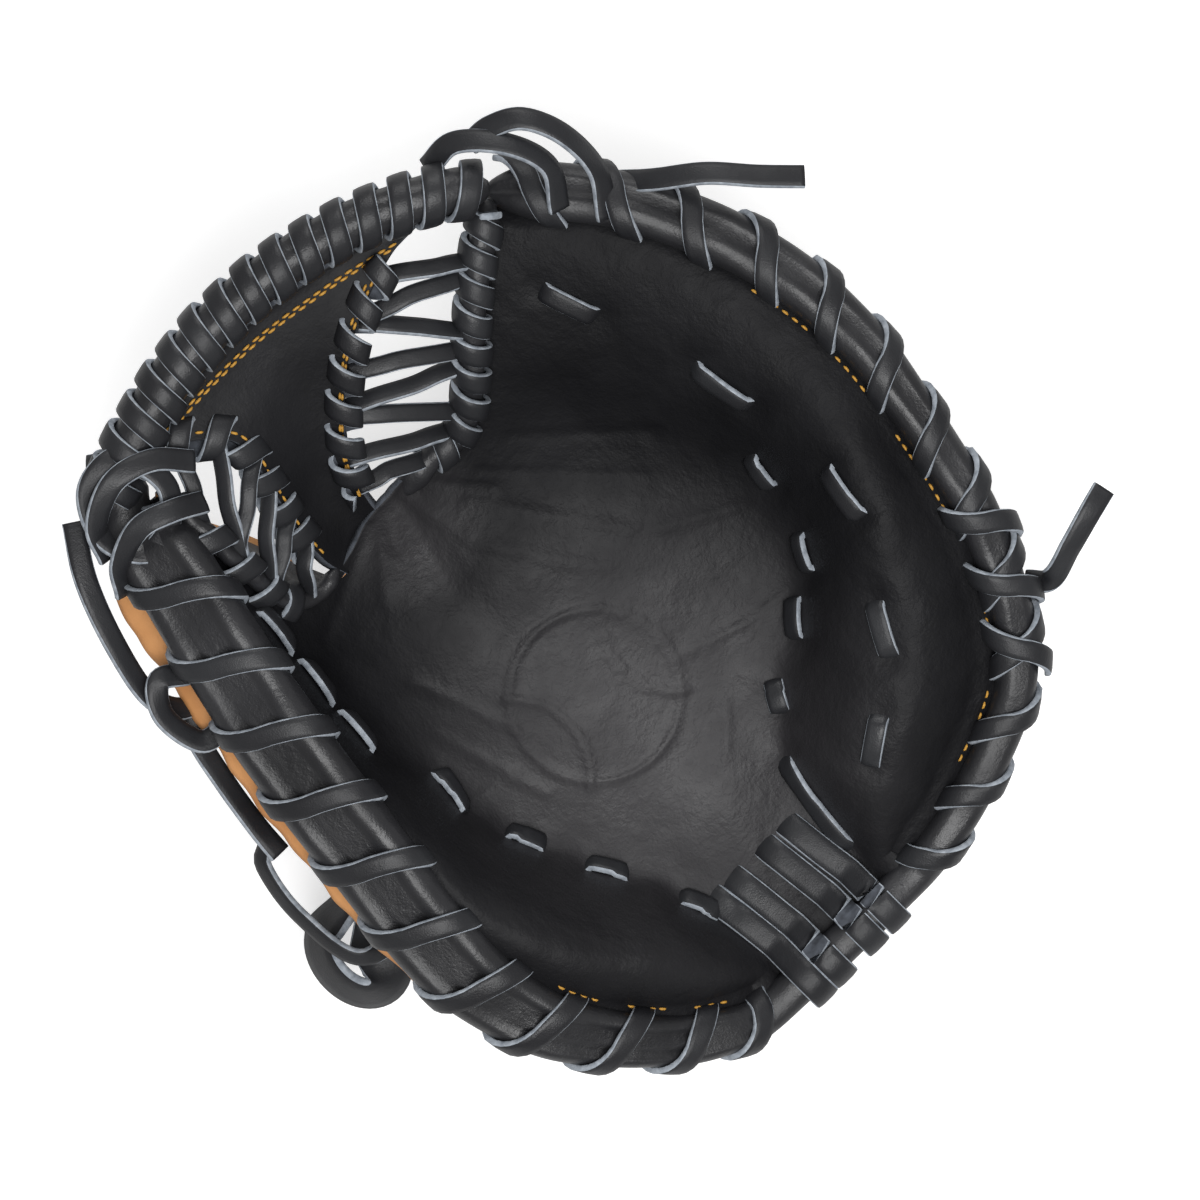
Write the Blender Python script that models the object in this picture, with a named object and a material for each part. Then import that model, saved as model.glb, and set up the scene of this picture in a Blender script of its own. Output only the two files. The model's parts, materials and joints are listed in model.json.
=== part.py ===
"""A baseball catcher's mitt, lying on its back with the pocket facing up.

Frame: +Z out of the pocket, +Y from the heel to the web, +X to the finger side.
The origin is on the floor plane under the middle of the pocket.

The mitt is two padded halves that fold towards each other about a break line
running from the heel to the crotch of the web.  Each half is a fan of columns:
every column leaves the break line, crosses the pocket to the pocket's edge,
then climbs the pad to the rim seam.  All leather, pads and linings are layers
stacked on those columns.  Lengths in this file are in millimetres.
"""

import math

import bmesh
import bpy
import numpy as np
from mathutils import Matrix, Vector

MM = 0.001

# Driving dimensions
LEATHER = 2.6  # palm and back leather
LINING = 1.6  # hand-side lining
GAP = 0.4  # clearance between neighbouring pieces
LACE_WIDTH = 6.2
LACE_THICK = 2.2
ROLL_RADIUS = 5.5  # padded roll that binds the rim
BAR_RADIUS = 6.0  # roll along the top of the web
BREAK_X = -12.0  # break line that the thumb half folds about
BREAK_Z = 48.0
CLOSE_DEG = 35.0  # how far the thumb half folds
POCKET_Z = 42.0  # deepest point of the pocket
LINING_Z = 30.0  # lining under the pocket, above the hand
SEAM_TO_ROLL = 9.0  # rim seam to the middle of the rim roll
ROLL_DROP = 3.0  # the roll's middle is this far under the seam
COIL_RADIUS = ROLL_RADIUS + GAP + 0.1 + LACE_THICK / 2

# Columns of the finger half, from the web notch round to the heel.
# (y on the break line, pocket edge x y z, rim seam x y z, pad bulge,
#  end of the back shell x y)
FINGER_COLUMNS = (
    (60, 18, 56, 56, 60, 95, 90, 0, 6, 44),
    (48, 42, 44, 50, 82, 73, 90, 6, -2, 36),
    (30, 58, 22, 48, 98, 38, 89, 8, -8, 22),
    (8, 65, -3, 47, 102.5, 6, 87, 9, -9, 5),
    (-16, 60, -29, 47, 98.5, -24, 83, 10, -8, -12),
    (-40, 43, -46, 46, 90, -60, 75, 11, 10, -30),
    (-62, 26, -60, 46, 72, -91, 66, 13, 34, -50),
    (-82, 13, -76, 46, 42, -105.5, 58, 14, 44, -78),
    (-100, 10, -97, 46, 24, -110, 54, 6, 44, -84),
    (-112, 9, -112, 47, 17, -112, 51, 0, 44, -88),
)
# Columns of the thumb half, from the heel round to the web notch.
THUMB_COLUMNS = (
    (-112, -31, -112, 47, -39, -111, 51, 0, -46, -88),
    (-100, -32, -97, 46, -47, -107, 56, 6, -46, -84),
    (-82, -36, -76, 46, -60, -98, 64, 14, -46, -76),
    (-60, -48, -52, 47, -80, -74, 77, 12, -38, -48),
    (-38, -58, -28, 48, -88, -44, 87, 9, -30, -28),
    (-14, -62, -4, 49, -84, -8, 93, 6, -24, -8),
    (10, -64, 16, 51, -80, 25, 96, 4, -22, 10),
    (30, -63, 34, 54, -73.5, 53, 98, 2, -24, 24),
    (46, -60, 46, 57, -65, 79, 99, 1, -28, 34),
    (60, -57, 53, 60, -57, 106, 99, 0, -34, 40),
)
HEEL_ROLL = (-121, 45)  # y and z of the rim roll's middle at the heel
HEEL_LACES_X = (3.5, -5.5, -18.5, -26.5)
BACK_SHELL_SPAN = 0.78  # share of the columns that the back leather covers
FINGER_SHELL_DROP = 9.0  # top edge of the back leather, under the rim roll's middle
THUMB_SHELL_DROP = 14.0
FLAT_START = 0.72  # share of the way in at which the back leather meets the floor
FINGER_RIM_TURNS = 12
THUMB_RIM_TURNS = 9
WEB_BAR_TURNS = 11

# The web: left and right edge from the bar to the crotch, and the bar itself.
WEB_LEFT = ((-47, 116, 103), (-33, 101, 97), (-36, 80, 84), (-40, 65, 67))
WEB_RIGHT = ((42, 104, 101), (14, 100, 94), (-4, 87, 82), (-17, 67, 66))
WEB_BAR = ((-62, 122, 104), (-38, 127, 107), (-6, 129, 109), (26, 123, 108), (58, 110, 104))
WEB_BOW = 5.0  # how far the panel's top edge bows out with the bar
WEB_SAG = 5.0

# The hand side: sleeves for the fingers, loops, and the strap over the wrist.
STALLS = {
    "index_stall": ((-6, -5, 17), (20, 42, 17)),
    "middle_stall": ((12, -14, 17), (38, 33, 17)),
    "ring_stall": ((28, -26, 17), (52, 17, 17)),
    "little_stall": ((42, -42, 17), (57, -16, 18)),
    "thumb_stall": ((-38, -22, 17), (-52, 26, 18)),
}
STALL_RADIUS, STALL_TIP_RADIUS, STALL_WALL = 9.5, 8.0, 1.2
LOOPS = {"little_finger_loop": (46, -56), "thumb_loop": (-44, -42)}
LOOP_RADIUS, LOOP_Z = 9.0, 15.0
STRAP_START = (-30, -60, 4.5)
STRAP_LENGTH, STRAP_WIDTH, STRAP_THICK = 70.0, 24.0, 3.0
FLEECE_START = (-26, -60, 8.4)
FLEECE_LENGTH, FLEECE_WIDTH, FLEECE_THICK = 52.0, 22.0, 4.0
STRAP_END_PIVOT = (-101, -24, 24)

# Loose lace ends: half, share of the way round its roll, then steps from there.
TAILS = {
    "top_lace_tail": ("finger", 0.15, ((4, -4, 5), (12, -10, 9), (20, -20, 9), (25, -29, 7))),
    "tip_lace_tail": ("finger", 0.05, ((3, 6, 8), (5, 14, 12), (-2, 20, 12), (-10, 20, 12))),
    "side_lace_tail": ("finger", 0.62, ((5, 0, 4), (12, 2, 10), (20, 6, 15), (27, 10, 18))),
    "thumb_lace_tail": ("thumb", 0.83, ((-6, 6, 6), (-8, 20, 8), (-4, 36, 9), (4, 52, 8))),
    "thumb_knot_tail": ("thumb", 0.74, ((-7, -6, 2), (-12, -14, -4), (-13, -26, -10), (-12, -38, -14))),
}


def spline(keys, count):
    """Evenly spaced samples of a Catmull-Rom curve through the key rows."""
    keys = np.asarray(keys, float)
    ends = np.vstack([2 * keys[0] - keys[1], keys, 2 * keys[-1] - keys[-2]])
    rows = []
    for along in np.linspace(0, len(keys) - 1, count):
        i = min(int(along), len(keys) - 2)
        t = along - i
        a, b, c, d = ends[i : i + 4]
        rows.append(
            b
            + 0.5 * t * (c - a)
            + t * t * (a - 2.5 * b + 2 * c - 0.5 * d)
            + t**3 * (1.5 * (b - c) + 0.5 * (d - a))
        )
    return np.array(rows)


def even(path, count):
    """The path resampled so that its points are the same distance apart."""
    path = np.asarray(path, float)
    run = np.append(0, np.cumsum(np.linalg.norm(np.diff(path, axis=0), axis=1)))
    want = np.linspace(0, run[-1], count)
    return np.column_stack([np.interp(want, run, path[:, k]) for k in range(3)])


def unit(vectors):
    return vectors / np.linalg.norm(vectors, axis=-1, keepdims=True)


def tangents(path):
    return unit(np.gradient(path, axis=0))


def clear_scene():
    for obj in list(bpy.data.objects):
        bpy.data.objects.remove(obj)


def material(name, colour, roughness):
    made = bpy.data.materials.new(name)
    made.use_nodes = True
    shader = made.node_tree.nodes["Principled BSDF"]
    shader.inputs["Base Color"].default_value = (*colour, 1)
    shader.inputs["Roughness"].default_value = roughness
    shader.inputs["Metallic"].default_value = 0
    return made


def mesh_object(name, points, faces, finish):
    """A named closed mesh with outward normals, from points in millimetres."""
    mesh = bpy.data.meshes.new(name)
    mesh.from_pydata([tuple(p * MM) for p in points], [], faces)
    work = bmesh.new()
    work.from_mesh(mesh)
    bmesh.ops.recalc_face_normals(work, faces=work.faces)
    work.to_mesh(mesh)
    work.free()
    mesh.materials.append(finish)
    mesh.shade_smooth()
    mesh.set_sharp_from_angle(angle=math.radians(40))
    obj = bpy.data.objects.new(name, mesh)
    bpy.context.scene.collection.objects.link(obj)
    return obj


def layer(name, top, bottom, finish):
    """A closed sheet between two grids of points that share their rows."""
    rows, cols = top.shape[:2]
    points = np.vstack([top.reshape(-1, 3), bottom.reshape(-1, 3)])
    below = rows * cols

    def at(i, j):
        return i * cols + j

    faces = []
    for i in range(rows - 1):
        for j in range(cols - 1):
            a, b, c, d = at(i, j), at(i + 1, j), at(i + 1, j + 1), at(i, j + 1)
            for corners in ((a, b, c), (a, c, d)):
                faces.append(corners)
                faces.append(tuple(below + k for k in reversed(corners)))
    border = [at(i, 0) for i in range(rows)]
    border += [at(rows - 1, j) for j in range(1, cols)]
    border += [at(i, cols - 1) for i in range(rows - 2, -1, -1)]
    border += [at(0, j) for j in range(cols - 2, 0, -1)]
    for a, b in zip(border, border[1:] + border[:1]):
        faces.append((a, b, below + b, below + a))
    return mesh_object(name, points, faces, finish)


def sweep(name, path, across, up, profile, finish):
    """A closed bar that carries the (across, up) profile along the path."""
    path = np.asarray(path, float)
    size = len(profile)
    points = [
        p + a * side + b * rise
        for p, side, rise in zip(path, across, up)
        for a, b in profile
    ]
    faces = [tuple(range(size))]
    for i in range(len(path) - 1):
        for j in range(size):
            k = (j + 1) % size
            a, b = i * size, (i + 1) * size
            faces.append((a + j, a + k, b + k, b + j))
    last = (len(path) - 1) * size
    faces.append(tuple(last + j for j in reversed(range(size))))
    return mesh_object(name, points, faces, finish)


def ribbon(name, path, up, finish, width=LACE_WIDTH, thick=LACE_THICK):
    """A flat lace or strap whose broad face looks along up."""
    path = np.asarray(path, float)
    up = np.broadcast_to(np.asarray(up, float), path.shape)
    across = unit(np.cross(tangents(path), up))
    rise = unit(np.cross(across, tangents(path)))
    w, h = width / 2, thick / 2
    return sweep(name, path, across, rise, ((-w, -h), (w, -h), (w, h), (-w, h)), finish)


def round_profile(radius, sides=8):
    turn = 2 * math.pi / sides
    return [(radius * math.cos(k * turn), radius * math.sin(k * turn)) for k in range(sides)]


def roll(name, path, radius, finish):
    """A padded roll: a round bar along the path."""
    path = np.asarray(path, float)
    across = unit(np.cross(tangents(path), (0, 0, 1)))
    rise = np.cross(across, tangents(path))
    return sweep(name, path, across, rise, round_profile(radius), finish)


def coil(name, path, radius, turns, finish, phase=0.0, per_turn=10):
    """A flat lace wound round a roll that follows the path."""
    count = round(turns * per_turn) + 1
    core = even(path, count)
    across = unit(np.cross(tangents(core), (0, 0, 1)))
    rise = np.cross(across, tangents(core))
    turn = phase + 2 * math.pi * turns * np.linspace(0, 1, count)[:, None]
    radial = np.cos(turn) * across + np.sin(turn) * rise
    return ribbon(name, core + radius * radial, radial, finish)


def sleeve(name, start, end, radius, end_radius, wall, finish, sides=10):
    """A tapered tube that is open at both ends."""
    start, end = np.asarray(start, float), np.asarray(end, float)
    along = unit(end - start)
    side = unit(np.cross(along, (0, 0, 1)))
    rise = np.cross(side, along)
    turn = np.linspace(0, 2 * math.pi, sides, endpoint=False)[:, None]
    spoke = np.cos(turn) * side + np.sin(turn) * rise
    rings = (
        start + radius * spoke,
        end + end_radius * spoke,
        end + (end_radius - wall) * spoke,
        start + (radius - wall) * spoke,
    )
    faces = []
    for a in range(4):
        b = (a + 1) % 4
        for j in range(sides):
            k = (j + 1) % sides
            faces.append((a * sides + j, a * sides + k, b * sides + k, b * sides + j))
    return mesh_object(name, np.vstack(rings), faces, finish)


class Half:
    """One padded half of the mitt, built on its columns."""

    ROWS = 22
    POCKET = (0, 0.3, 0.6, 0.85, 0.97)  # steps from break line to pocket edge
    PAD = (0.04, 0.2, 0.4, 0.62, 0.82, 1.0)  # steps from pocket edge to seam

    def __init__(self, columns, side):
        self.side = side  # +1 for the finger half, -1 for the thumb half
        self.columns = spline(columns, self.ROWS)
        self.break_y = self.columns[:, 0]
        self.edge = self.columns[:, 1:4]
        self.seam = self.columns[:, 4:7]
        self.bulge = self.columns[:, 7]
        self.shell_end = self.columns[:, 8:10]
        self.roll_path = self.rim_path(SEAM_TO_ROLL, -ROLL_DROP)
        heel = np.array([(BREAK_X + 1.5 * side, *HEEL_ROLL)])
        order = (self.roll_path, heel) if side > 0 else (heel, self.roll_path)
        self.roll_path = np.vstack(order)

    def rim_path(self, out, lift):
        """The rim seam moved outwards in plan and up by lift."""
        plan = self.seam.copy()
        plan[:, 2] = 0
        outward = unit(np.cross(tangents(plan), (0, 0, 1))) * -1
        if np.dot(outward[len(plan) // 2], plan[len(plan) // 2]) < 0:
            outward = -outward
        return self.seam + out * outward + np.array((0, 0, lift))

    def break_point(self, y):
        """On the break line; the thumb half stays clear of the finger half."""
        climb = np.clip((y - 15) / 45, 0, 1)
        drop = np.clip((-60 - y) / 50, 0, 1)
        z = POCKET_Z + 14 * climb**2 + 4 * drop**2
        x = BREAK_X + GAP
        if self.side < 0:
            lean = math.tan(math.radians(CLOSE_DEG + 2))
            x = BREAK_X - GAP - lean * max(0.0, z - BREAK_Z)
        return np.array((x, y, z))

    def pocket_top(self, steps):
        rows = []
        for y, edge in zip(self.break_y, self.edge):
            start = self.break_point(y)
            row = [start + t * (edge - start) for t in steps]
            for t, p in zip(steps, row):
                p[2] = start[2] + (edge[2] - start[2]) * t * t
            rows.append(row)
        return np.array(rows)

    def pad_top(self, steps):
        rows = []
        for edge, seam, bulge in zip(self.edge, self.seam, self.bulge):
            row = [edge + t * (seam - edge) for t in steps]
            for t, p in zip(steps, row):
                rise = 1 - (1 - t) ** 2
                swell = bulge * math.sin(math.pi * t)
                p[2] = edge[2] + (seam[2] - edge[2]) * rise + swell
            rows.append(row)
        return np.array(rows)

    def lining_under_pad(self, top, steps):
        """The lining climbs more slowly than the pad that it lies under."""
        low = top.copy()
        for row, seam in zip(low, self.seam):
            at_seam = seam[2] - 0.45 * (seam[2] - LINING_Z)
            for p, t in zip(row, steps):
                p[2] = LINING_Z + (at_seam - LINING_Z) * t**1.6
        return low

    def build(self, prefix, black, felt, tan):
        """Palm leather, pocket pad, side pad and lining of this half."""
        pocket, pad = self.pocket_top(self.POCKET), self.pad_top(self.PAD)
        down = np.array((0, 0, 1.0))
        whole = np.concatenate([pocket, pad], axis=1)
        layer(f"{prefix}_palm_leather", whole, whole - LEATHER * down, black)
        under = LEATHER + GAP
        flat = pocket.copy()
        flat[..., 2] = LINING_Z
        layer(f"{prefix}_pocket_pad", pocket - under * down, flat + GAP * down, felt)
        low = self.lining_under_pad(pad, self.PAD)
        layer(f"{prefix}_side_pad", pad - under * down, low + 2.5 * GAP * down, felt)
        lining = np.concatenate([flat, low], axis=1)
        layer(f"{prefix}_lining", lining, lining - LINING * down, tan)

    def back_shell(self, name, top_drop, finish):
        """The back leather: from under the rim roll down to the floor."""
        start = self.rim_path(SEAM_TO_ROLL + 1.0, -ROLL_DROP - top_drop)
        rows = len(start)
        used = math.ceil(rows * BACK_SHELL_SPAN)
        keep = range(used) if self.side > 0 else range(rows - used, rows)
        outer, inner = [], []
        for i in keep:
            rim, foot = start[i], np.append(self.shell_end[i], 0)
            row = []
            for t in (0, 0.2, 0.42, 0.66, 0.86, 1.0):
                angle = t * math.pi / 2
                p = rim + (foot - rim) * FLAT_START * (1 - math.cos(angle))
                p[2] = rim[2] * (1 - math.sin(angle))
                row.append(p)
            row.append(foot)
            outer.append(row)
            inward = unit(np.append((foot - rim)[:2], 0))
            thin = [q + LEATHER * 1.3 * inward * max(0, 1 - k / 4) for k, q in enumerate(row)]
            for k, q in enumerate(thin):
                q[2] = row[k][2] + LEATHER * min(1, k / 3)
            inner.append(thin)
        return layer(name, np.array(inner), np.array(outer), finish)

    def rim_run(self, first, last):
        """Part of the rim roll's path, by share of the columns."""
        rows = len(self.roll_path) - 1
        return self.roll_path[round(first * rows) : round(last * rows) + 1]


def surface_lace(name, half, step, rows, finish):
    """A lace that runs over the palm leather at one step of the pad."""
    near, path, far = half.pad_top((step - 0.15, step, step + 0.15)).transpose(1, 0, 2)
    normal = unit(np.cross(tangents(path), far - near))
    normal *= np.sign(normal[:, 2:])
    path = path + (LACE_THICK / 2 + 2 * GAP) * normal
    return ribbon(name, path[rows], normal[rows], finish, LACE_WIDTH * 0.8)


def heel_lace(name, x, finish):
    """One of the straps that tie the heel's palm leather down over the rim."""
    lift = GAP + 0.9 + LACE_THICK / 2
    middle_y, middle_z = HEEL_ROLL[0], HEEL_ROLL[1] + 1.5
    run = [(x, -88, 46.5 + lift), (x, -100, 47.4 + lift), (x, -110, 50.5 + lift)]
    ups = [(0, 0, 1), (0, 0.1, 1), (0, 0.3, 1)]
    for angle in (110, 80, 45, 10, -25):
        turn = math.radians(angle)
        out = np.array((0, -math.cos(turn), math.sin(turn)))
        run.append(np.array((x, middle_y, middle_z)) + (COIL_RADIUS + 1.2) * out)
        ups.append(out)
    return ribbon(name, run, ups, finish)


def zigzag(name, one, other, crossings, lift, finish):
    """A lace that crosses back and forth between two edges of the web gap."""
    count = crossings + 1
    a, b = spline(one, count), spline(other, count)
    path = []
    for i in range(count):
        near, far = (a, b) if i % 2 == 0 else (b, a)
        path += [near[i] * 0.98 + far[i] * 0.02, near[i] * 0.5 + far[i] * 0.5]
    path = np.array(path[:-1]) + np.array((0, 0, lift))
    return ribbon(name, path, (0, 0, 1), finish, LACE_WIDTH * 0.55)


def build_web(black, lace):
    """The web panel, the roll along its top and the laces that hold it."""
    steps = 8
    left, right = spline(WEB_LEFT, steps), spline(WEB_RIGHT, steps)
    across = np.linspace(0, 1, 6)
    face = np.array([[a + t * (b - a) for t in across] for a, b in zip(left, right)])
    sag = WEB_SAG * np.sin(math.pi * across)
    face[..., 2] -= sag * np.linspace(0, 1, steps)[:, None]
    face[..., 1] += WEB_BOW * np.sin(math.pi * across) * np.linspace(1, 0, steps)[:, None] ** 2
    layer("web_panel", face, face - np.array((0, -0.9, LEATHER)), black)
    bar = spline(WEB_BAR, 17)
    roll("web_bar", bar, BAR_RADIUS, black)
    radius = COIL_RADIUS + BAR_RADIUS - ROLL_RADIUS
    coil("web_bar_lace", bar[1:-1], radius, WEB_BAR_TURNS, lace)
    finger_notch = ((54, 96, 95), (36, 83, 88), (21, 66, 74))
    web_edge = ((34, 102, 101), (8, 95, 93), (-8, 76, 79))
    zigzag("web_lace_finger", finger_notch, web_edge, 8, 2.0, lace)
    thumb_notch = ((-55, 104, 104), (-56, 82, 101), (-55, 62, 84))
    web_thumb = ((-39, 104, 104), (-38, 82, 89), (-42, 66, 74))
    zigzag("web_lace_thumb", thumb_notch, web_thumb, 6, 3.5, lace)
    crotch = spline(((-10, 63, 60), (0, 65, 61), (10, 64, 62)), 6)
    roll("crotch_binding", crotch, 3.2, black)


def build_wrist(black, lace, fleece):
    """The strap over the back of the hand and the parts that adjust it."""
    strap = STRAP_START + np.outer(np.linspace(0, STRAP_LENGTH, 6), (1, 0, 0))
    ribbon("wrist_strap", strap, (0, 0, 1), black, STRAP_WIDTH, STRAP_THICK)
    pad = FLEECE_START + np.outer(np.linspace(0, FLEECE_LENGTH, 6), (1, 0, 0))
    ribbon("wrist_strap_fleece", pad, (0, 0, 1), fleece, FLEECE_WIDTH, FLEECE_THICK)
    tab = ((-88, -24, 25), (-100, -24, 22), (-113, -24, 26), (-118, -24, 38))
    ribbon("strap_tab", spline(tab, 9), (-0.3, 0, 1), black, STRAP_WIDTH, LEATHER)
    pull = ((-105, -24, 28.5), (-109, -12, 38), (-107, 2, 44), (-103, 16, 46))
    ribbon("strap_pull_lace", spline(pull, 8), (-1, 0, 0.3), lace, 4.5)


def build_hand_stalls(tan, black):
    """The finger and thumb stalls that the hand slides into, and two loops."""
    for name, (start, end) in STALLS.items():
        sleeve(name, start, end, STALL_RADIUS, STALL_TIP_RADIUS, STALL_WALL, tan)
    for name, (x, y) in LOOPS.items():
        turn = np.radians(np.linspace(-20, 200, 9))
        radial = np.column_stack([np.cos(turn), 0 * turn, np.sin(turn)])
        ribbon(name, np.array((x, y, LOOP_Z)) + LOOP_RADIUS * radial, radial, black, 12, 1.6)


def build_tails(halves, lace):
    """Loose ends that the knots leave at the rim."""
    reach = COIL_RADIUS + LACE_THICK + 3 * GAP
    for name, (half, share, steps) in TAILS.items():
        outer = halves[half].rim_path(SEAM_TO_ROLL + reach, -ROLL_DROP)
        start = outer[round(share * (len(outer) - 1))]
        path = np.vstack([start, start + np.array(steps)])
        ribbon(name, spline(path, 9), (0.1, 0.1, 1), lace)


def hang(empty_name, pivot, names, parent=None):
    """Give the named pieces a parent empty and an origin on their joint."""
    empty = bpy.data.objects.new(empty_name, None)
    bpy.context.scene.collection.objects.link(empty)
    empty.location = Vector(pivot) * MM
    if parent:
        empty.parent = parent
        empty.location -= parent.location
    for name in names:
        obj = bpy.data.objects[name]
        obj.data.transform(Matrix.Translation(-Vector(pivot) * MM))
        obj.parent = empty
    return empty


def build():
    clear_scene()
    black = material("black_leather", (0.022, 0.022, 0.025), 0.5)
    lace = material("lace_leather", (0.03, 0.03, 0.034), 0.55)
    tan = material("tan_leather", (0.60, 0.30, 0.12), 0.6)
    felt = material("pad_felt", (0.55, 0.53, 0.48), 0.95)
    fleece = material("strap_fleece", (0.05, 0.05, 0.055), 1.0)

    fingers = Half(FINGER_COLUMNS, 1)
    thumb = Half(THUMB_COLUMNS, -1)
    fingers.build("finger", black, felt, tan)
    thumb.build("thumb", black, felt, tan)
    fingers.back_shell("finger_back_shell", FINGER_SHELL_DROP, black)
    thumb.back_shell("thumb_back_shell", THUMB_SHELL_DROP, black)

    roll("finger_rim_roll", fingers.roll_path, ROLL_RADIUS, black)
    roll("thumb_rim_roll", thumb.roll_path, ROLL_RADIUS, black)
    coil("finger_rim_lace", fingers.rim_run(0, 0.88), COIL_RADIUS, FINGER_RIM_TURNS, lace)
    coil("thumb_rim_lace", thumb.rim_run(0.12, 1), COIL_RADIUS, THUMB_RIM_TURNS, lace)
    for number, x in enumerate(HEEL_LACES_X, 1):
        heel_lace(f"heel_lace_{number}", x, lace)
    surface_lace("finger_pad_lace", fingers, 0.4, slice(2, 18), lace)
    surface_lace("thumb_pad_lace", thumb, 0.2, slice(4, 19), lace)

    near = thumb.rim_path(SEAM_TO_ROLL + 5, -ROLL_DROP - 11)
    far = thumb.rim_path(SEAM_TO_ROLL + 11, -ROLL_DROP - 7)
    collar = np.stack([near, far], axis=1)[7:]
    layer("thumb_edge_lining", collar, collar - np.array((0, 0, LINING)), tan)

    build_web(black, lace)
    build_wrist(black, lace, fleece)
    build_hand_stalls(tan, black)
    build_tails({"finger": fingers, "thumb": thumb}, lace)

    folding = [obj.name for obj in bpy.data.objects if obj.name.startswith("thumb_")]
    folding += ["heel_lace_3", "heel_lace_4"]
    fold = hang("thumb_fold", (BREAK_X, 0, BREAK_Z), folding)
    hang("strap_end_slide", STRAP_END_PIVOT, ("strap_tab", "strap_pull_lace"), fold)
    hang("strap_slide", STRAP_START, ("wrist_strap", "wrist_strap_fleece"))


build()
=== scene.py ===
"""The catcher's mitt in leather, laces and thread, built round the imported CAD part.

The mitt lies on its back, pocket up.  Its pattern is drawn in pattern units, which
one factor scales to the width of the CAD palm.  The fold, the floor, the heel's roll
and straps, the web's height, the lining and the strap's end come from the frame.
"""

import json
import math

import bmesh
import bpy
import numpy as np
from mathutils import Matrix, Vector
from mathutils.bvhtree import BVHTree
from mathutils.noise import fractal, noise


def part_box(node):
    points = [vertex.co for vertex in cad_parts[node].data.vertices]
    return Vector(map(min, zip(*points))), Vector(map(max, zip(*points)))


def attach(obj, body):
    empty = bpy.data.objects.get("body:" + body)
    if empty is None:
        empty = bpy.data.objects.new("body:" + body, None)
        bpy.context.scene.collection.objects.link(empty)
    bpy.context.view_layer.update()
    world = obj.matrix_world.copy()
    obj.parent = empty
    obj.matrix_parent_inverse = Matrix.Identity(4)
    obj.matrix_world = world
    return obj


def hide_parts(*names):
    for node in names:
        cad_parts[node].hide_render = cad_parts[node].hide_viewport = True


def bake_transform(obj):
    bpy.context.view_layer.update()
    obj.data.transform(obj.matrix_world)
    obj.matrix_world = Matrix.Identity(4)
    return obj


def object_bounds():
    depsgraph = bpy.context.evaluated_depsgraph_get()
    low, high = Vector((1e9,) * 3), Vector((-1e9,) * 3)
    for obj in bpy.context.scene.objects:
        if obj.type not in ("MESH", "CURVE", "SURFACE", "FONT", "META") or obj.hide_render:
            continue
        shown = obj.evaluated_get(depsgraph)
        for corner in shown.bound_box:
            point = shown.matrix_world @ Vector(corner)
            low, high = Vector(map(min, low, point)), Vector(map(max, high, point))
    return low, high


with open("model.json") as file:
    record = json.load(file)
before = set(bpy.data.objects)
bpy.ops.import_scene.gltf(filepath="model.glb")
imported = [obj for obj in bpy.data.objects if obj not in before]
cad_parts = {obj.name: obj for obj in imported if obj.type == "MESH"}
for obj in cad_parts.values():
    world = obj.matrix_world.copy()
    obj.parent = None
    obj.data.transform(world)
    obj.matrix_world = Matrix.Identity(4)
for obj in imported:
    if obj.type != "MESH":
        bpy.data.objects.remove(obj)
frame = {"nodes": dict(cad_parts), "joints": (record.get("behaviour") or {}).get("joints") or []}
REST_LOW, REST_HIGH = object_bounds()

# ---------------------------------------------------------------- the frame

JOINTS = {joint["name"]: joint for joint in frame["joints"]}
FOLD = JOINTS["thumb_fold"]["pos_m"]

# The palm pattern is this many units from seam to seam, thumb to finger side.
PATTERN_WIDTH = 190.6
PALM_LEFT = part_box("thumb_palm_leather")[0].x
PALM_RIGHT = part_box("finger_palm_leather")[1].x
UNIT = (PALM_RIGHT - PALM_LEFT) / PATTERN_WIDTH
FOLD_X = FOLD[0] / UNIT
FOLD_Z = FOLD[2] / UNIT
FLOOR_Z = REST_LOW.z

BLACK = "black_leather"
LACE = "lace_leather"
TAN = "tan_leather"

# ------------------------------------------------------------- the pattern

LEATHER = 2.4
LACE_WIDTH = 6.3
LACE_THICK = 1.9

# Columns of the palm from the crotch to the heel, one table for each half:
# y on the fold, pocket edge x y z, rim seam x y z, pad bulge.
FINGER_COLUMNS = (
    (60, 18, 56, 56, 60, 95, 90, 0),
    (47, 42, 44, 50, 82, 73, 90, 6),
    (30, 58, 22, 48, 98, 38, 89, 8),
    (9, 65, -3, 47, 102.5, 6, 87, 9),
    (-15, 60, -29, 47, 98.5, -24, 83, 10),
    (-39, 43, -46, 46, 90, -60, 75, 11),
    (-61, 26, -60, 46, 72, -91, 66, 13),
    (-82, 13, -76, 46, 42, -105.5, 58, 12),
    (-100, 10, -97, 46, 24, -110, 54, 5),
    (-112, 9, -112, 47, 17, -112, 51, 0),
)
THUMB_COLUMNS = (
    (60, -57, 53, 60, -57, 106, 99, 0),
    (47, -60, 46, 57, -63, 80, 99, 1),
    (30, -63, 34, 54, -70, 53, 98, 3),
    (9, -64, 16, 51, -76, 25, 96, 5),
    (-15, -62, -4, 49, -80, -8, 93, 7),
    (-39, -58, -28, 48, -84, -44, 87, 10),
    (-61, -48, -52, 47, -78, -73, 77, 13),
    (-82, -36, -76, 46, -60, -97, 64, 14),
    (-100, -32, -97, 46, -47, -107, 56, 6),
    (-112, -31, -112, 47, -39, -111, 51, 0),
)
POCKET_Z = 42.0
# Where a painted highlight lightens the palm: middle, near and far reach, strength.
PAINTED_HIGHLIGHT_PLACES = (
    ((-10, -42, 45), (10, 92), 1.0),
    ((-14, 46, 62), (4, 30), 0.9),
)


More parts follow.
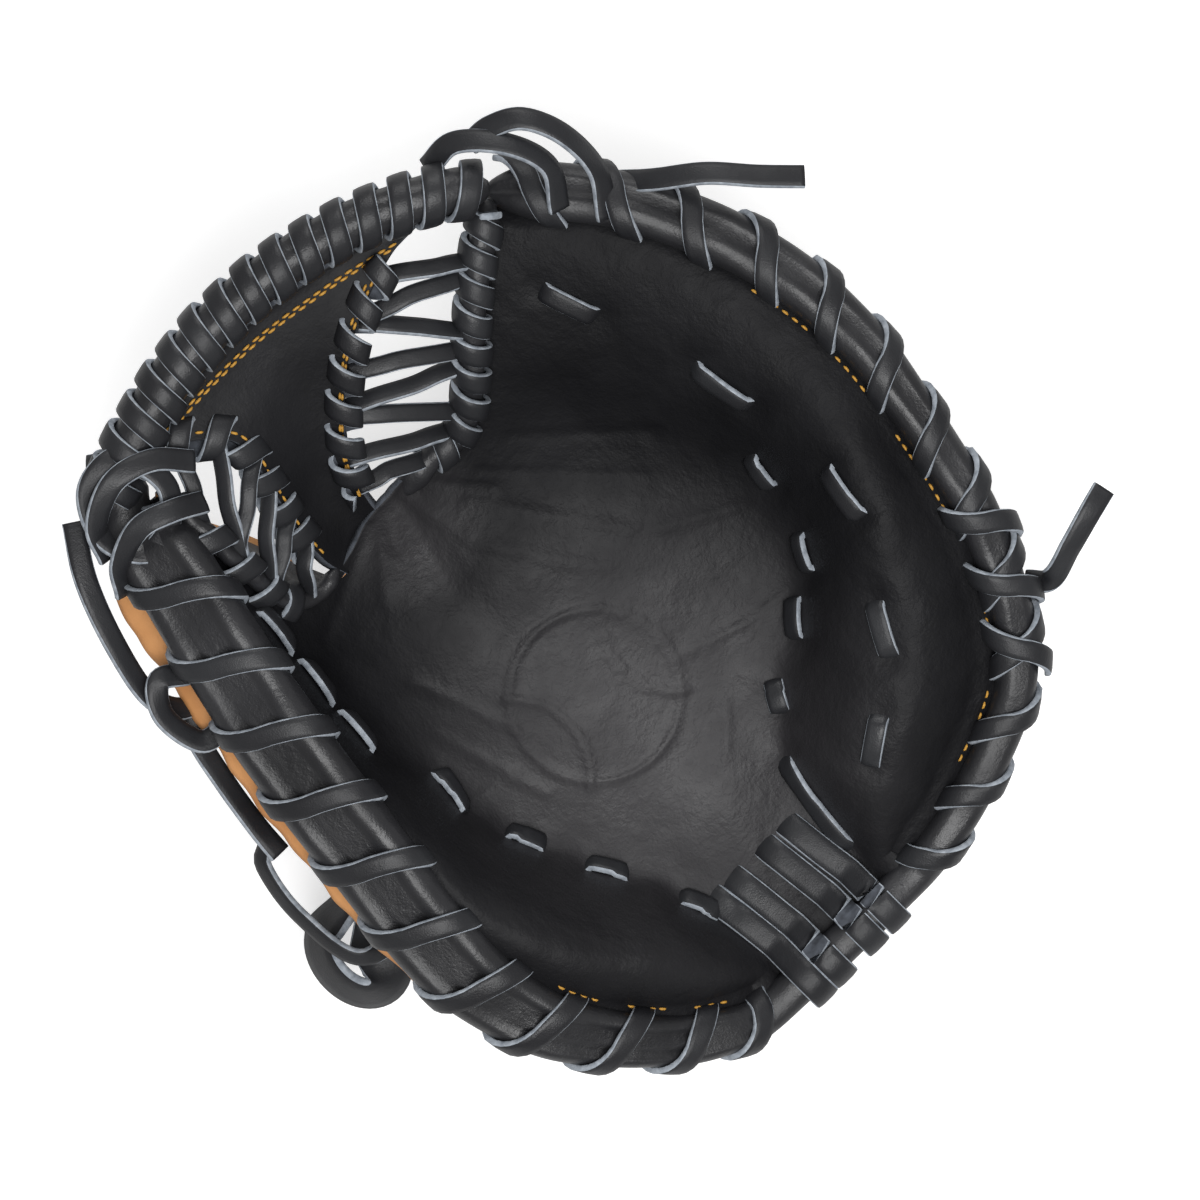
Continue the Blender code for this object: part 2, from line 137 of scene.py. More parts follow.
def spline(keys, count):
    """Samples of a Catmull-Rom curve through the key rows."""
    keys = np.asarray(keys, float)
    ends = np.vstack([2 * keys[0] - keys[1], keys, 2 * keys[-1] - keys[-2]])
    rows = []
    for along in np.linspace(0, len(keys) - 1, count):
        i = min(int(along), len(keys) - 2)
        t = along - i
        a, b, c, d = ends[i : i + 4]
        bend = t * t * (a - 2.5 * b + 2 * c - 0.5 * d)
        rows.append(b + 0.5 * t * (c - a) + bend + t**3 * (1.5 * (b - c) + 0.5 * (d - a)))
    return np.array(rows)


def even(path, count):
    """The path resampled so that its points are the same distance apart."""
    path = np.asarray(path, float)
    run = np.append(0, np.cumsum(np.linalg.norm(np.diff(path, axis=0), axis=1)))
    want = np.linspace(0, run[-1], count)
    return np.column_stack([np.interp(want, run, path[:, k]) for k in range(path.shape[1])])


def sampled(values, at):
    """The rows of values at the places given, counted in rows and parts of a row."""
    index = np.arange(len(values))
    return np.stack([np.interp(at, index, column) for column in values.T], axis=-1)


def length_of(path):
    return np.linalg.norm(np.diff(path, axis=0), axis=1).sum()


def unit(vectors):
    size = np.linalg.norm(vectors, axis=-1, keepdims=True)
    return vectors / np.maximum(size, 1e-9)


def tangents(path):
    return unit(np.gradient(path, axis=0))


def smooth_noise(point, scale, seed=0.0):
    return noise(Vector((point[0] / scale + seed, point[1] / scale - seed, point[2] / scale)))


def line_noise(line, scale, seed):
    return np.array([smooth_noise(point, scale, seed) for point in line])


def grid_noise(grid, scale, seed):
    return np.array([line_noise(row, scale, seed) for row in grid])


def bell(away, width):
    return np.exp(-((away / width) ** 2))


def blunt(value, power):
    """A sine or cosine made fuller, so that a circle becomes a rounded square."""
    return math.copysign(abs(value) ** power, value)


def hang(line, outward, steps, reach, drop):
    """A grid hung from a line: after t of the steps it is reach(t) out and drop(t) down."""
    columns = []
    for t in steps:
        p = line + reach(t) * outward
        p[:, 2] -= drop(t)
        columns.append(p)
    return np.stack(columns, axis=1)


# --------------------------------------------------------------- materials


class Nodes:
    """A short way to write a material's node tree."""

    def __init__(self, name):
        self.material = bpy.data.materials.new(name)
        self.material.use_nodes = True
        self.tree = self.material.node_tree
        self.shader = self.tree.nodes["Principled BSDF"]
        self.place = self.add("ShaderNodeTexCoord").outputs["Object"]

    def add(self, kind, **values):
        node = self.tree.nodes.new(kind)
        for key, value in values.items():
            if key in node.inputs:
                node.inputs[key].default_value = value
            else:
                setattr(node, key, value)
        return node

    def link(self, source, target):
        self.tree.links.new(source, target)

    def noise(self, scale, detail=4.0, rough=0.55):
        node = self.add("ShaderNodeTexNoise", Scale=scale, Detail=detail, Roughness=rough)
        self.link(self.place, node.inputs["Vector"])
        return node.outputs["Fac"]

    def cells(self, scale):
        node = self.add("ShaderNodeTexVoronoi", Scale=scale, feature="DISTANCE_TO_EDGE")
        self.link(self.place, node.inputs["Vector"])
        return node.outputs["Distance"]

    def ramp(self, source, low, high, start=0.3, end=0.7, ease="LINEAR"):
        """Low at start to high at end, and held outside them."""
        node = self.add("ShaderNodeMapRange", interpolation_type=ease)
        self.link(source, node.inputs["Value"])
        for name, value in zip(("From Min", "From Max", "To Min", "To Max"), (start, end, low, high)):
            node.inputs[name].default_value = value
        return node.outputs["Result"]

    def paint(self, share, first, second):
        """The base colour: first, or second where share is 1. First may be a socket."""
        node = self.add("ShaderNodeMix", data_type="RGBA")
        self.link(share, node.inputs[0])
        if isinstance(first, tuple):
            node.inputs[6].default_value = (*first, 1)
        else:
            self.link(first, node.inputs[6])
        node.inputs[7].default_value = (*second, 1)
        self.colour = node.outputs[2]
        self.link(self.colour, self.shader.inputs["Base Color"])

    def bump(self, source, strength, distance, under=None):
        node = self.add("ShaderNodeBump", Strength=strength, Distance=distance)
        self.link(source, node.inputs["Height"])
        if under:
            self.link(under, node.inputs["Normal"])
        self.link(node.outputs["Normal"], self.shader.inputs["Normal"])
        return node.outputs["Normal"]


def grained(name, dark, light, rough, grain, wrinkle, shine):
    """Grained leather: fine cells, soft wrinkles and uneven sheen."""
    nodes = Nodes(name)
    nodes.paint(nodes.ramp(nodes.noise(28.0, 5.0), 0, 1), dark, light)
    nodes.shader.inputs["Specular IOR Level"].default_value = shine
    sheen = nodes.ramp(nodes.noise(60.0, 3.0), rough - 0.06, rough + 0.1)
    nodes.link(sheen, nodes.shader.inputs["Roughness"])
    folds = nodes.bump(nodes.noise(130.0, 6.0, 0.62), wrinkle, 0.0012)
    nodes.bump(nodes.cells(grain), 0.22, 0.0003, folds)
    return nodes


def leather(name, dark, light, rough, grain=900.0, wrinkle=0.35, shine=0.4):
    return grained(name, dark, light, rough, grain, wrinkle, shine).material


# Shine of the pads, and the shine and painted highlight colour in the pocket and at the crotch.
PAD_SHINE = 0.15
HIGHLIGHT_PATCH_SHINE = 0.45
PAINTED_HIGHLIGHT_COLOUR = (0.029, 0.0275, 0.030)


def palm_with_painted_highlight(name):
    """Palm leather with a painted highlight: paler in colour and shinier in the pocket and at the
    crotch, where the light falls; the pads keep the darker base colour.
    """
    nodes = grained(name, (0.0055, 0.0055, 0.0065), (0.011, 0.011, 0.0125), 0.52, 800.0, 0.7, PAD_SHINE)
    highlight_share = None
    for centre, (near, far), most in PAINTED_HIGHLIGHT_PLACES:
        away = nodes.add("ShaderNodeVectorMath", operation="DISTANCE")
        nodes.link(nodes.place, away.inputs[0])
        away.inputs[1].default_value = Vector(centre) * UNIT
        share = nodes.ramp(away.outputs["Value"], most, 0, near * UNIT, far * UNIT, "SMOOTHSTEP")
        if highlight_share is not None:
            larger = nodes.add("ShaderNodeMath", operation="MAXIMUM")
            nodes.link(highlight_share, larger.inputs[0])
            nodes.link(share, larger.inputs[1])
            share = larger.outputs["Value"]
        highlight_share = share
    # Painted highlight: the colour is mixed paler in the pocket and at the crotch, where the light
    # falls.
    nodes.paint(highlight_share, nodes.colour, PAINTED_HIGHLIGHT_COLOUR)
    shine = nodes.ramp(highlight_share, PAD_SHINE, HIGHLIGHT_PATCH_SHINE, 0, 1)
    nodes.link(shine, nodes.shader.inputs["Specular IOR Level"])
    return nodes.material


def dull(name, dark, light, rough, scale, nap, strength, depth):
    """Cloth, thread or suede: uneven colour and a fine nap."""
    nodes = Nodes(name)
    nodes.paint(nodes.ramp(nodes.noise(scale, nap[0]), 0, 1), dark, light)
    nodes.shader.inputs["Roughness"].default_value = rough
    nodes.bump(nodes.noise(*nap[1:]), strength, depth)
    return nodes.material


def suede(name, dark, light):
    """The napped flesh side of leather, and its cut edges."""
    return dull(name, dark, light, 0.9, 420.0, (6.0, 1500.0, 4.0), 0.4, 0.0004)


def plain(name, dark, light, rough, scale=700.0):
    return dull(name, dark, light, rough, scale, (3.0, 2 * scale, 2.0), 0.2, 0.0003)


MATERIALS = {
    "palm": palm_with_painted_highlight("palm_black"),
    # The rim leather is black, painted a little lighter than the back leather as a painted highlight for
    # the light that the rolls and the bar catch.
    "rim": leather("rim_black", (0.012, 0.012, 0.0135), (0.026, 0.026, 0.029), 0.38, shine=0.5),
    "web": leather("web_black", (0.006, 0.006, 0.007), (0.012, 0.012, 0.014), 0.52, 900.0, 0.4, 0.2),
    "back": leather("back_black", (0.010, 0.010, 0.0115), (0.021, 0.021, 0.023), 0.44, wrinkle=0.45),
    "lace": leather("lace_black", (0.010, 0.010, 0.012), (0.024, 0.025, 0.028), 0.42, 1300.0, 0.2),
    "edge": suede("lace_edge", (0.20, 0.225, 0.26), (0.44, 0.48, 0.53)),
    "flesh": suede("lace_flesh", (0.040, 0.045, 0.055), (0.085, 0.095, 0.115)),
    "tan": leather("tan_natural", (0.50, 0.21, 0.07), (0.72, 0.36, 0.14), 0.62, 700.0, 0.3),
    "felt": plain("wool_felt", (0.30, 0.28, 0.25), (0.46, 0.44, 0.40), 0.95, 500.0),
    "fleece": plain("black_fleece", (0.008, 0.008, 0.009), (0.03, 0.03, 0.034), 1.0, 380.0),
    "thread": plain("gold_thread", (0.42, 0.20, 0.02), (0.70, 0.38, 0.06), 0.55, 2500.0),
}


# ------------------------------------------------------------ mesh builders


def make_object(name, points, faces, materials, slots=None):
    """A smooth mesh from points in pattern units."""
    mesh = bpy.data.meshes.new(name)
    mesh.from_pydata([tuple(p * UNIT) for p in np.asarray(points, float)], [], faces)
    for key in materials:
        mesh.materials.append(MATERIALS[key])
    if slots is not None:
        mesh.polygons.foreach_set("material_index", slots)
    mesh.shade_smooth()
    mesh.update()
    obj = bpy.data.objects.new(name, mesh)
    bpy.context.scene.collection.objects.link(obj)
    return obj


def face_outwards(obj):
    work = bmesh.new()
    work.from_mesh(obj.data)
    bmesh.ops.recalc_face_normals(work, faces=work.faces)
    work.to_mesh(obj.data)
    work.free()
    return obj


def grid_normals(grid):
    """Normals of a grid of points, pointing up where the grid is level."""
    down = np.gradient(grid, axis=0)
    along = np.gradient(grid, axis=1)
    normal = unit(np.cross(down, along))
    return normal if normal[..., 2].mean() > 0 else -normal


def facing(normals, towards):
    """The normals, turned if most of them point away from the side given."""
    return normals * np.sign((normals * towards).sum())


def sheet(name, grid, thickness, materials, normals=None):
    """A leather sheet: its face is the grid, its flesh side is under it.
    materials: face, flesh, cut edge."""
    rows, cols = grid.shape[:2]
    normals = grid_normals(grid) if normals is None else normals
    under = grid - thickness * normals
    points = np.vstack([grid.reshape(-1, 3), under.reshape(-1, 3)])
    i, j = np.meshgrid(np.arange(rows - 1), np.arange(cols - 1), indexing="ij")
    a = (i * cols + j).ravel()
    top = np.column_stack([a, a + cols, a + cols + 1, a + 1])
    flesh = top[:, ::-1] + rows * cols
    border = [k * cols for k in range(rows)]
    border += [(rows - 1) * cols + k for k in range(1, cols)]
    border += [k * cols + cols - 1 for k in range(rows - 2, -1, -1)]
    border += list(range(cols - 2, 0, -1))
    ring = np.array(border)
    following = np.roll(ring, -1)
    shift = rows * cols
    edge = np.column_stack([ring, following, following + shift, ring + shift])
    faces = np.vstack([top, flesh, edge]).tolist()
    slots = [0] * len(top) + [1] * len(flesh) + [2] * len(edge)
    return face_outwards(make_object(name, points, faces, materials, slots))


def tube_faces(count, size, base=0):
    """Faces along count rings of size points, with both ends closed."""
    faces = []
    for i in range(count - 1):
        for j in range(size):
            k = (j + 1) % size
            a, b = base + i * size, base + (i + 1) * size
            faces.append((a + j, a + k, b + k, b + j))
    last = base + (count - 1) * size
    faces.append(tuple(range(base, base + size)))
    faces.append(tuple(last + j for j in reversed(range(size))))
    return faces


def sweep(name, rings, materials, ring_slots=None):
    """A bar through the rings of points, all of one size."""
    rings = np.asarray(rings, float)
    count, size = rings.shape[:2]
    ring_slots = ring_slots or (0,) * size
    slots = list(ring_slots) * (count - 1) + [ring_slots[0]] * 2
    faces = tube_faces(count, size)
    return face_outwards(make_object(name, rings.reshape(-1, 3), faces, materials, slots))


# A lace's outline: a crowned grain face, two cut edges and a flesh side.
LACE_OUTLINE = (
    (-0.50, 0.22), (-0.46, 0.46), (-0.22, 0.58), (0.22, 0.58), (0.46, 0.46), (0.50, 0.22),
    (0.50, -0.30), (0.46, -0.48), (-0.46, -0.48), (-0.50, -0.30),
)
LACE_SLOTS = (1, 0, 0, 0, 1, 1, 1, 2, 1, 1)


def lace_rings(path, up, width=LACE_WIDTH, thick=LACE_THICK):
    path = np.asarray(path, float)
    up = np.broadcast_to(np.asarray(up, float), path.shape)
    along = tangents(path)
    across = unit(np.cross(along, up))
    rise = unit(np.cross(across, along))
    outline = np.array(LACE_OUTLINE)
    return (
        path[:, None]
        + width * outline[None, :, :1] * across[:, None]
        + thick * outline[None, :, 1:] * rise[:, None]
    )


def lace(name, path, up, width=LACE_WIDTH, thick=LACE_THICK):
    """A flat lace with its grain face towards up."""
    return sweep(name, lace_rings(path, up, width, thick), ("lace", "edge", "flesh"), LACE_SLOTS)


def joined(name, parts):
    """Several meshes made into one piece."""
    with bpy.context.temp_override(
        active_object=parts[0], selected_editable_objects=parts, selected_objects=parts
    ):
        bpy.ops.object.join()
    parts[0].name = name
    return parts[0]


def rounded_copy(name, node):
    """The CAD node's shape under a subdivision, which rounds it off."""
    work = bmesh.new()
    work.from_mesh(frame["nodes"][node].data)
    bmesh.ops.remove_doubles(work, verts=work.verts, dist=0.02 * UNIT)
    bmesh.ops.join_triangles(
        work, faces=work.faces, angle_face_threshold=0.5, angle_shape_threshold=1.0
    )
    bmesh.ops.recalc_face_normals(work, faces=work.faces)
    mesh = bpy.data.meshes.new(name)
    work.to_mesh(mesh)
    work.free()
    obj = bpy.data.objects.new(name, mesh)
    bpy.context.scene.collection.objects.link(obj)
    obj.modifiers.new("smooth", "SUBSURF").levels = 2
    return obj


CRUMPLE = 0.25  # how uneven the swelling of a soft piece is


def soften(obj, graph, key, puff):
    """A soft piece in the place of a CAD node: rounded, swollen and creased."""
    mesh = bpy.data.meshes.new_from_object(obj.evaluated_get(graph))
    obj.modifiers.clear()
    obj.data = mesh
    mesh.materials.clear()
    mesh.materials.append(MATERIALS[key])
    mesh.polygons.foreach_set("material_index", [0] * len(mesh.polygons))
    mesh.shade_smooth()
    places = np.empty(len(mesh.vertices) * 3)
    normals = np.empty(len(mesh.vertices) * 3)
    mesh.vertices.foreach_get("co", places)
    mesh.vertices.foreach_get("normal", normals)
    places = places.reshape(-1, 3) / UNIT
    swell = np.array([puff + CRUMPLE * fractal(Vector(p / 16), 1.0, 2.0, 3) for p in places])
    places += swell[:, None] * normals.reshape(-1, 3)
    mesh.vertices.foreach_set("co", (places * UNIT).ravel())
    mesh.update()
    return obj


def keep_under(obj, tree, depth):
    """Lowers the piece's points that come nearer than depth to the palm's face."""
    for vertex in obj.data.vertices:
        above = Vector((vertex.co.x, vertex.co.y, 0.3))
        place = tree.ray_cast(above, Vector((0, 0, -1)))[0]
        if place is not None:
            vertex.co.z = min(vertex.co.z, place.z - depth * UNIT)
    obj.data.update()


PALM_BEND = 14  # the reach either side of the fold that put_across_fold is given
BINDING_BEND = 16
CROTCH_BEND = 10


def stand_for(nodes):
    if nodes:
        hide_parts(*nodes)


def put(obj, body, slot, *nodes):
    """The piece rides on the body and stands for the nodes; the slot is not used."""
    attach(obj, body)
    stand_for(nodes)


def put_across(obj, start_x, end_x, slot, *nodes):
    """The piece's transform is baked into its mesh, and it stands for the nodes; start_x and end_x are
    not used.
    """
    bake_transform(obj)
    stand_for(nodes)


def put_across_fold(obj, reach, slot, *nodes):
    put_across(obj, FOLD_X + reach, FOLD_X - reach, slot, *nodes)


# ------------------------------------------------------------ palm leather

ROWS = 230
STEPS = 66  # steps across one half


def fold_height(y):
    """Height of the palm's middle: lowest in the pocket, up to the crotch and the heel."""
    climb = np.clip((y - 15) / 45, 0, 1)
    heel = np.clip((-60 - y) / 50, 0, 1)
    return POCKET_Z + 14 * climb**2 + 4 * heel**2


def half_grid(columns):
    """Points of one half, from the fold to the rim seam, row by row."""
    keys = spline(columns, ROWS)
    steps = np.linspace(0, 1, STEPS)
    pocket_share = 0.52
    grid = []
    for key in keys:
        y, edge, seam, bulge = key[0], key[1:4], key[4:7], key[7]
        start = np.array((FOLD_X, y, fold_height(y)))
        row = []
        for step in steps:
            if step < pocket_share:
                t = step / pocket_share
                p = start + t * (edge - start)
                p[2] = start[2] + (edge[2] - start[2]) * t * t
            else:
                t = (step - pocket_share) / (1 - pocket_share)
                p = edge + t * (seam - edge)
                rise = 1 - (1 - t) ** 2
                p[2] = edge[2] + (seam[2] - edge[2]) * rise + bulge * math.sin(math.pi * t)
            row.append(p)
        grid.append(row)
    return np.array(grid)


def relaxed(grid, rounds):
    """The grid smoothed in both directions, with its border kept."""
    soft = grid.copy()
    for _ in range(rounds):
        soft[:, 1:-1] = (soft[:, :-2] + 2 * soft[:, 1:-1] + soft[:, 2:]) / 4
        soft[1:-1] = (soft[:-2] + 2 * soft[1:-1] + soft[2:]) / 4
    return soft


def palm_grid():
    fingers = half_grid(FINGER_COLUMNS)
    thumb = half_grid(THUMB_COLUMNS)
    whole = np.concatenate([thumb[:, :0:-1], fingers], axis=1)
    firm = relaxed(whole, 10)
    slack = relaxed(firm, 260)
    near_web = np.clip(1 - np.linspace(0, 1, ROWS) / 0.50, 0, 1)[:, None, None] ** 0.6
    return firm + near_web * (slack - firm)


PALM = palm_grid()
FINGER_SEAM = PALM[:, -1]
THUMB_SEAM = PALM[:, 0]


def outward_in_plan(path):
    """Level unit vectors pointing away from the mitt's middle."""
    plan = path.copy()
    plan[:, 2] = 0
    side = unit(np.cross(tangents(plan), (0, 0, 1)))
    return side * np.sign((side * plan).sum(axis=1).sum())


FLANGE = 9.0  # palm leather that runs on under the rim binding
FLANGE_DROP = 5.0
HEEL_REACH = 11.0  # and under the roll at the heel
HEEL_DROP = 1.0


def with_flange(grid):
    """The palm leather turned out and down under the rim on both sides."""
    out = []
    for seam in (grid[:, 0], grid[:, -1]):
        out.append(hang(
            seam, outward_in_plan(seam), np.linspace(0.2, 1, 5),
            lambda t: FLANGE * t,
            lambda t: FLANGE_DROP * t**1.5,
        ))
    wide = np.concatenate([out[0][:, ::-1], grid, out[1]], axis=1)
    heel = []
    column = np.arange(wide.shape[1])
    inside = np.clip(np.minimum(column, column[::-1]) / 24, 0, 1)[:, None]
    for t in np.linspace(0.15, 1, 7):
        heel.append(wide[-1] + inside * np.array((0, -HEEL_REACH * t, -HEEL_DROP * t**2)))
    return np.concatenate([wide, np.array(heel)])


def raised(grid, normals, amount):
    """The grid moved out along its normals, by a different amount at each point."""
    return grid + amount[..., None] * normals


def press(grid, normals, centre, radius, depth):
    """Pushes the leather in round a point."""
    away = ((grid[..., :2] - centre) ** 2).sum(axis=-1)
    return raised(grid, normals, -depth * np.exp(-away / radius**2))


def ridge_share(grid, path, width):
    """How much each grid point lies on a line: 1 on it, falling to 0 beside it."""
    nearest = np.full(grid.shape[:2], 1e9)
    for a, b in zip(path[:-1], path[1:]):
        a, b = np.array(a, float), np.array(b, float)
        along = np.clip(((grid[..., :2] - a) @ (b - a)) / ((b - a) @ (b - a)), 0, 1)
        gap = grid[..., :2] - (a + along[..., None] * (b - a))
        nearest = np.minimum(nearest, (gap**2).sum(axis=-1))
    return np.exp(-nearest / width**2)


# Laces that show on the palm: the two holes of each, on the pad or pocket edge.
PAD_LACES = (
    ((58.5, 73.5), (65.0, 55.0)),
    ((74.0, 28.0), (78.0, 6.0)),
    ((80.5, -19.0), (77.0, -38.0)),
    ((64.0, -56.0), (55.0, -72.0)),
    ((42.5, -80.5), (29.0, -90.0)),
)
FINGER_EDGE_LACES = (
    ((68.5, -2.0), (66.5, -14.0)),
    ((63.0, -27.5), (57.0, -39.0)),
    ((49.5, -40.0), (40.5, -50.0)),
    ((28.0, -53.0), (22.5, -62.0)),
    ((14.0, -69.0), (8.5, -106.0)),
)
THUMB_EDGE_LACES = (
    ((-61.0, 66.0), (-63.0, 49.0)),
    ((-63.0, 47.0), (-65.5, 31.0)),
    ((-65.5, 29.0), (-67.0, 13.0)),
    ((-59.0, -2.0), (-62.0, -18.0)),
    ((-58.0, -29.0), (-52.5, -41.0)),
    ((-48.5, -52.0), (-41.5, -64.0)),
    ((-36.0, -78.0), (-30.5, -91.0)),
)

# The pressed mark in the pocket: a plain ball with two seams.
MARK_CENTRE = (-12.0, -20.0)
MARK_RADIUS = 25.0
MARK_DEPTH = 1.0
MARK_LINE = 0.9


def mark_lines():
    """The ring and the two curved seams of a ball, as open paths."""
    turn = np.linspace(0, 2 * math.pi, 49)
    ring = np.column_stack([np.cos(turn), np.sin(turn)]) * MARK_RADIUS
    bow = np.radians(np.linspace(-52, 52, 17))
    seam_radius = 0.92 * MARK_RADIUS
    lines = [ring]
    for side in (-1, 1):
        seam = np.column_stack([np.cos(bow), np.sin(bow)]) * seam_radius
        seam[:, 0] = side * (seam[:, 0] - 1.36 * MARK_RADIUS)
        lines.append(seam)
    return [line + np.array(MARK_CENTRE) for line in lines]


HOLE_RADIUS, HOLE_DEPTH = 4.5, 1.2
TUCK_RADIUS, TUCK_DEPTH = 7.0, 0.5  # the leather pulled in under a lace
# The raised fold that runs from the crotch into the pocket, and the fan of small folds
# beside it, each by how far it spreads to the side.
CROTCH_FOLD = ((-13, 62), (-17, 48), (-20, 30), (-19, 8))
CROTCH_FOLD_WIDTH, CROTCH_FOLD_HEIGHT = 8.0, 3.4
CROTCH_FAN = (-34, -18, -6, 8, 22)
FAN_WIDTH, FAN_DEPTH = 2.2, 0.9
CREASES = (
    ((10, 50), (44, 14)), ((2, 46), (30, 6)), ((24, 50), (54, 22)), ((-4, 34), (16, 4)),
    ((34, 2), (58, -12)), ((-46, 20), (-34, -14)), ((-52, 4), (-42, -30)),
    ((16, -30), (34, -36)), ((2, -60), (14, -48)),
)
CREASE_WIDTH, CREASE_DEPTH = 1.6, 0.55


def shape_palm(grid):
    """Creases, lace holes, the crotch's gathered folds and the pressed mark."""
    normals = grid_normals(grid)
    for pair in PAD_LACES + FINGER_EDGE_LACES + THUMB_EDGE_LACES:
        for hole in pair:
            grid = press(grid, normals, hole, HOLE_RADIUS, HOLE_DEPTH)
        grid = press(grid, normals, np.mean(pair, axis=0), TUCK_RADIUS, TUCK_DEPTH)
    fade = np.clip((grid[..., 1] + 5) / 60, 0, 1)
    fold = ridge_share(grid, CROTCH_FOLD, CROTCH_FOLD_WIDTH)
    grid = raised(grid, normals, CROTCH_FOLD_HEIGHT * fade * fold)
    lifted = bell(grid[..., 0] + 14, 15) * np.clip((grid[..., 1] - 42) / 18, 0, 1) ** 2
    grid = grid + lifted[..., None] * np.array((0, 8.0, 7.0))
    for fan in CROTCH_FAN:
        tip = (-13 + fan * 0.32, 60)
        foot = (-15 + fan * 1.15, 36 + abs(fan) * 0.3)
        fold = ridge_share(grid, (tip, foot), FAN_WIDTH)
        grid = raised(grid, normals, -FAN_DEPTH * fold * fade)
    for crease in CREASES:
        grid = raised(grid, normals, -CREASE_DEPTH * ridge_share(grid, crease, CREASE_WIDTH))
    for line in mark_lines():
        grid = raised(grid, normals, -MARK_DEPTH * ridge_share(grid, line, MARK_LINE))
    rumple = 1.1 * grid_noise(grid, 26, 3.1) + 0.28 * grid_noise(grid, 9, 7.7)
    return raised(grid, normals, rumple)


def build_palm():
    """The palm leather, one sheet, and a tree for dropping other pieces onto it."""
    palm = shape_palm(with_flange(PALM))
    obj = sheet("palm_leather", palm, LEATHER, ("palm", "flesh", "flesh"))
    tree = BVHTree.FromPolygons(
        [tuple(v.co) for v in obj.data.vertices],
        [tuple(p.vertices) for p in obj.data.polygons],
    )
    put_across_fold(obj, PALM_BEND, BLACK, "finger_palm_leather", "thumb_palm_leather")
    return tree


def drop_onto(tree, x, y):
    """The palm's surface point and normal under (x, y), in pattern units."""
    above = Vector((x * UNIT, y * UNIT, 0.3))
    place, normal, _, _ = tree.ray_cast(above, Vector((0, 0, -1)))
    if place is None:
        place, normal, _, _ = tree.find_nearest(Vector((x * UNIT, y * UNIT, FOLD[2] * 1.4)))
    if normal.z < 0:
        normal = -normal
    return np.array(place) / UNIT, np.array(normal)


def surface_lace(name, tree, pair):
    """A lace that comes out of one hole, lies on the leather and goes in at the other."""
    start, end = np.array(pair[0], float), np.array(pair[1], float)
    path, ups = [], []
    for t in np.linspace(0, 1, 13):
        place, normal = drop_onto(tree, *(start + t * (end - start)))
        dip = 3.6 * (max(0, 0.16 - t) + max(0, t - 0.84)) / 0.16
        path.append(place + normal * (LACE_THICK * 0.42 + 0.7 * math.sin(math.pi * t) - dip))
        ups.append(normal)
    return lace(name, path, np.array(ups), LACE_WIDTH * 0.92)


def build_surface_laces(tree):
    """The short laces that show on the pads and along the pocket's edge."""
    table = (
        ("finger_pad_laces", PAD_LACES, "fingers", ("finger_pad_lace",)),
        ("finger_pocket_laces", FINGER_EDGE_LACES, "fingers", ()),
        ("thumb_pocket_laces", THUMB_EDGE_LACES, "thumb", ("thumb_pad_lace",)),
    )
    for name, pairs, body, nodes in table:
        parts = [surface_lace(f"{name}_{i}", tree, pair) for i, pair in enumerate(pairs)]
        put(joined(name, parts), body, LACE, *nodes)


# ------------------------------------------------------------- rim binding

# Along the rim from the tip (0) to the heel (1): how far out the binding's middle
# is from the seam, how far down, its half width, half height and outward tilt.
FINGER_BINDING = (
    (0.00, 10.5, 1.5, 8.5, 6.0, 14),
    (0.20, 10.5, 1.5, 8.3, 6.0, 14),
    (0.45, 11.0, 2.5, 6.6, 6.0, 12),
    (0.70, 11.5, 3.5, 6.0, 5.8, 10),
    (1.00, 10.0, 3.5, 5.8, 5.8, 0),
)
THUMB_BINDING = (
    (0.00, 9.5, 0.5, 12.0, 7.0, 18),
    (0.30, 8.0, 1.5, 13.5, 7.5, 20),
    (0.55, 8.5, 2.5, 12.5, 7.5, 18),
    (0.75, 10.0, 3.5, 8.0, 6.5, 12),
    (1.00, 10.0, 3.5, 5.8, 5.8, 0),
)
HEEL_ROLL_Y = (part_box("finger_rim_roll")[0].y + 5.5 * UNIT) / UNIT
BINDING_POINTS = 28  # points round the binding
BINDING_STEPS = 200  # and along each half of it
FINGER_WRAPS = 12
THUMB_WRAPS = 10
WRAP_LEAN = 0.68  # share of each wrap's advance that shows on top
RIM_WRAP_POINTS = 26  # points of a lace in one turn round the rim
THUMB_TIP = ((-73, 90, 95), (-72, 101, 96), (-68, 111, 97), (-62, 118, 97), (-55, 121, 96))
THUMB_TIP_RADIUS = 8.2
HEEL_ROLL_Z = 47.5


def lobed_outline(half_width, half_height, welts, depth):
    """The binding's cross-section: flat under, with lengthwise welts on top."""
    outline = []
    for k in range(BINDING_POINTS):
        turn = 2 * math.pi * k / BINDING_POINTS
        x, z = blunt(math.cos(turn), 0.8), blunt(math.sin(turn), 0.8)
        if z > 0:
            for groove in range(1, welts):
                at = -1 + 2 * groove / welts
                z -= depth * math.exp(-(((x - at) / 0.13) ** 2))
        outline.append((x * half_width, z * half_height))
    return np.array(outline)


def binding_line(seam, table):
    """The binding's middle line and its measures, from the tip to the heel."""
    outward = outward_in_plan(seam)
    share = np.linspace(0, 1, len(seam))
    keys = np.array(table)
    measures = np.column_stack([np.interp(share, keys[:, 0], keys[:, k]) for k in range(1, 6)])
    path = seam + measures[:, :1] * outward
    path[:, 2] -= measures[:, 1]
    path = np.vstack([path, (FOLD_X, HEEL_ROLL_Y, HEEL_ROLL_Z)])
    measures = np.vstack([measures, measures[-1:]])
    joined_up = even(np.column_stack([path, measures]), BINDING_STEPS)
    line, sizes = joined_up[:, :3], joined_up[:, 3:]
    for _ in range(6):
        line[1:-1] = (line[:-2] + 2 * line[1:-1] + line[2:]) / 4
    return line, sizes


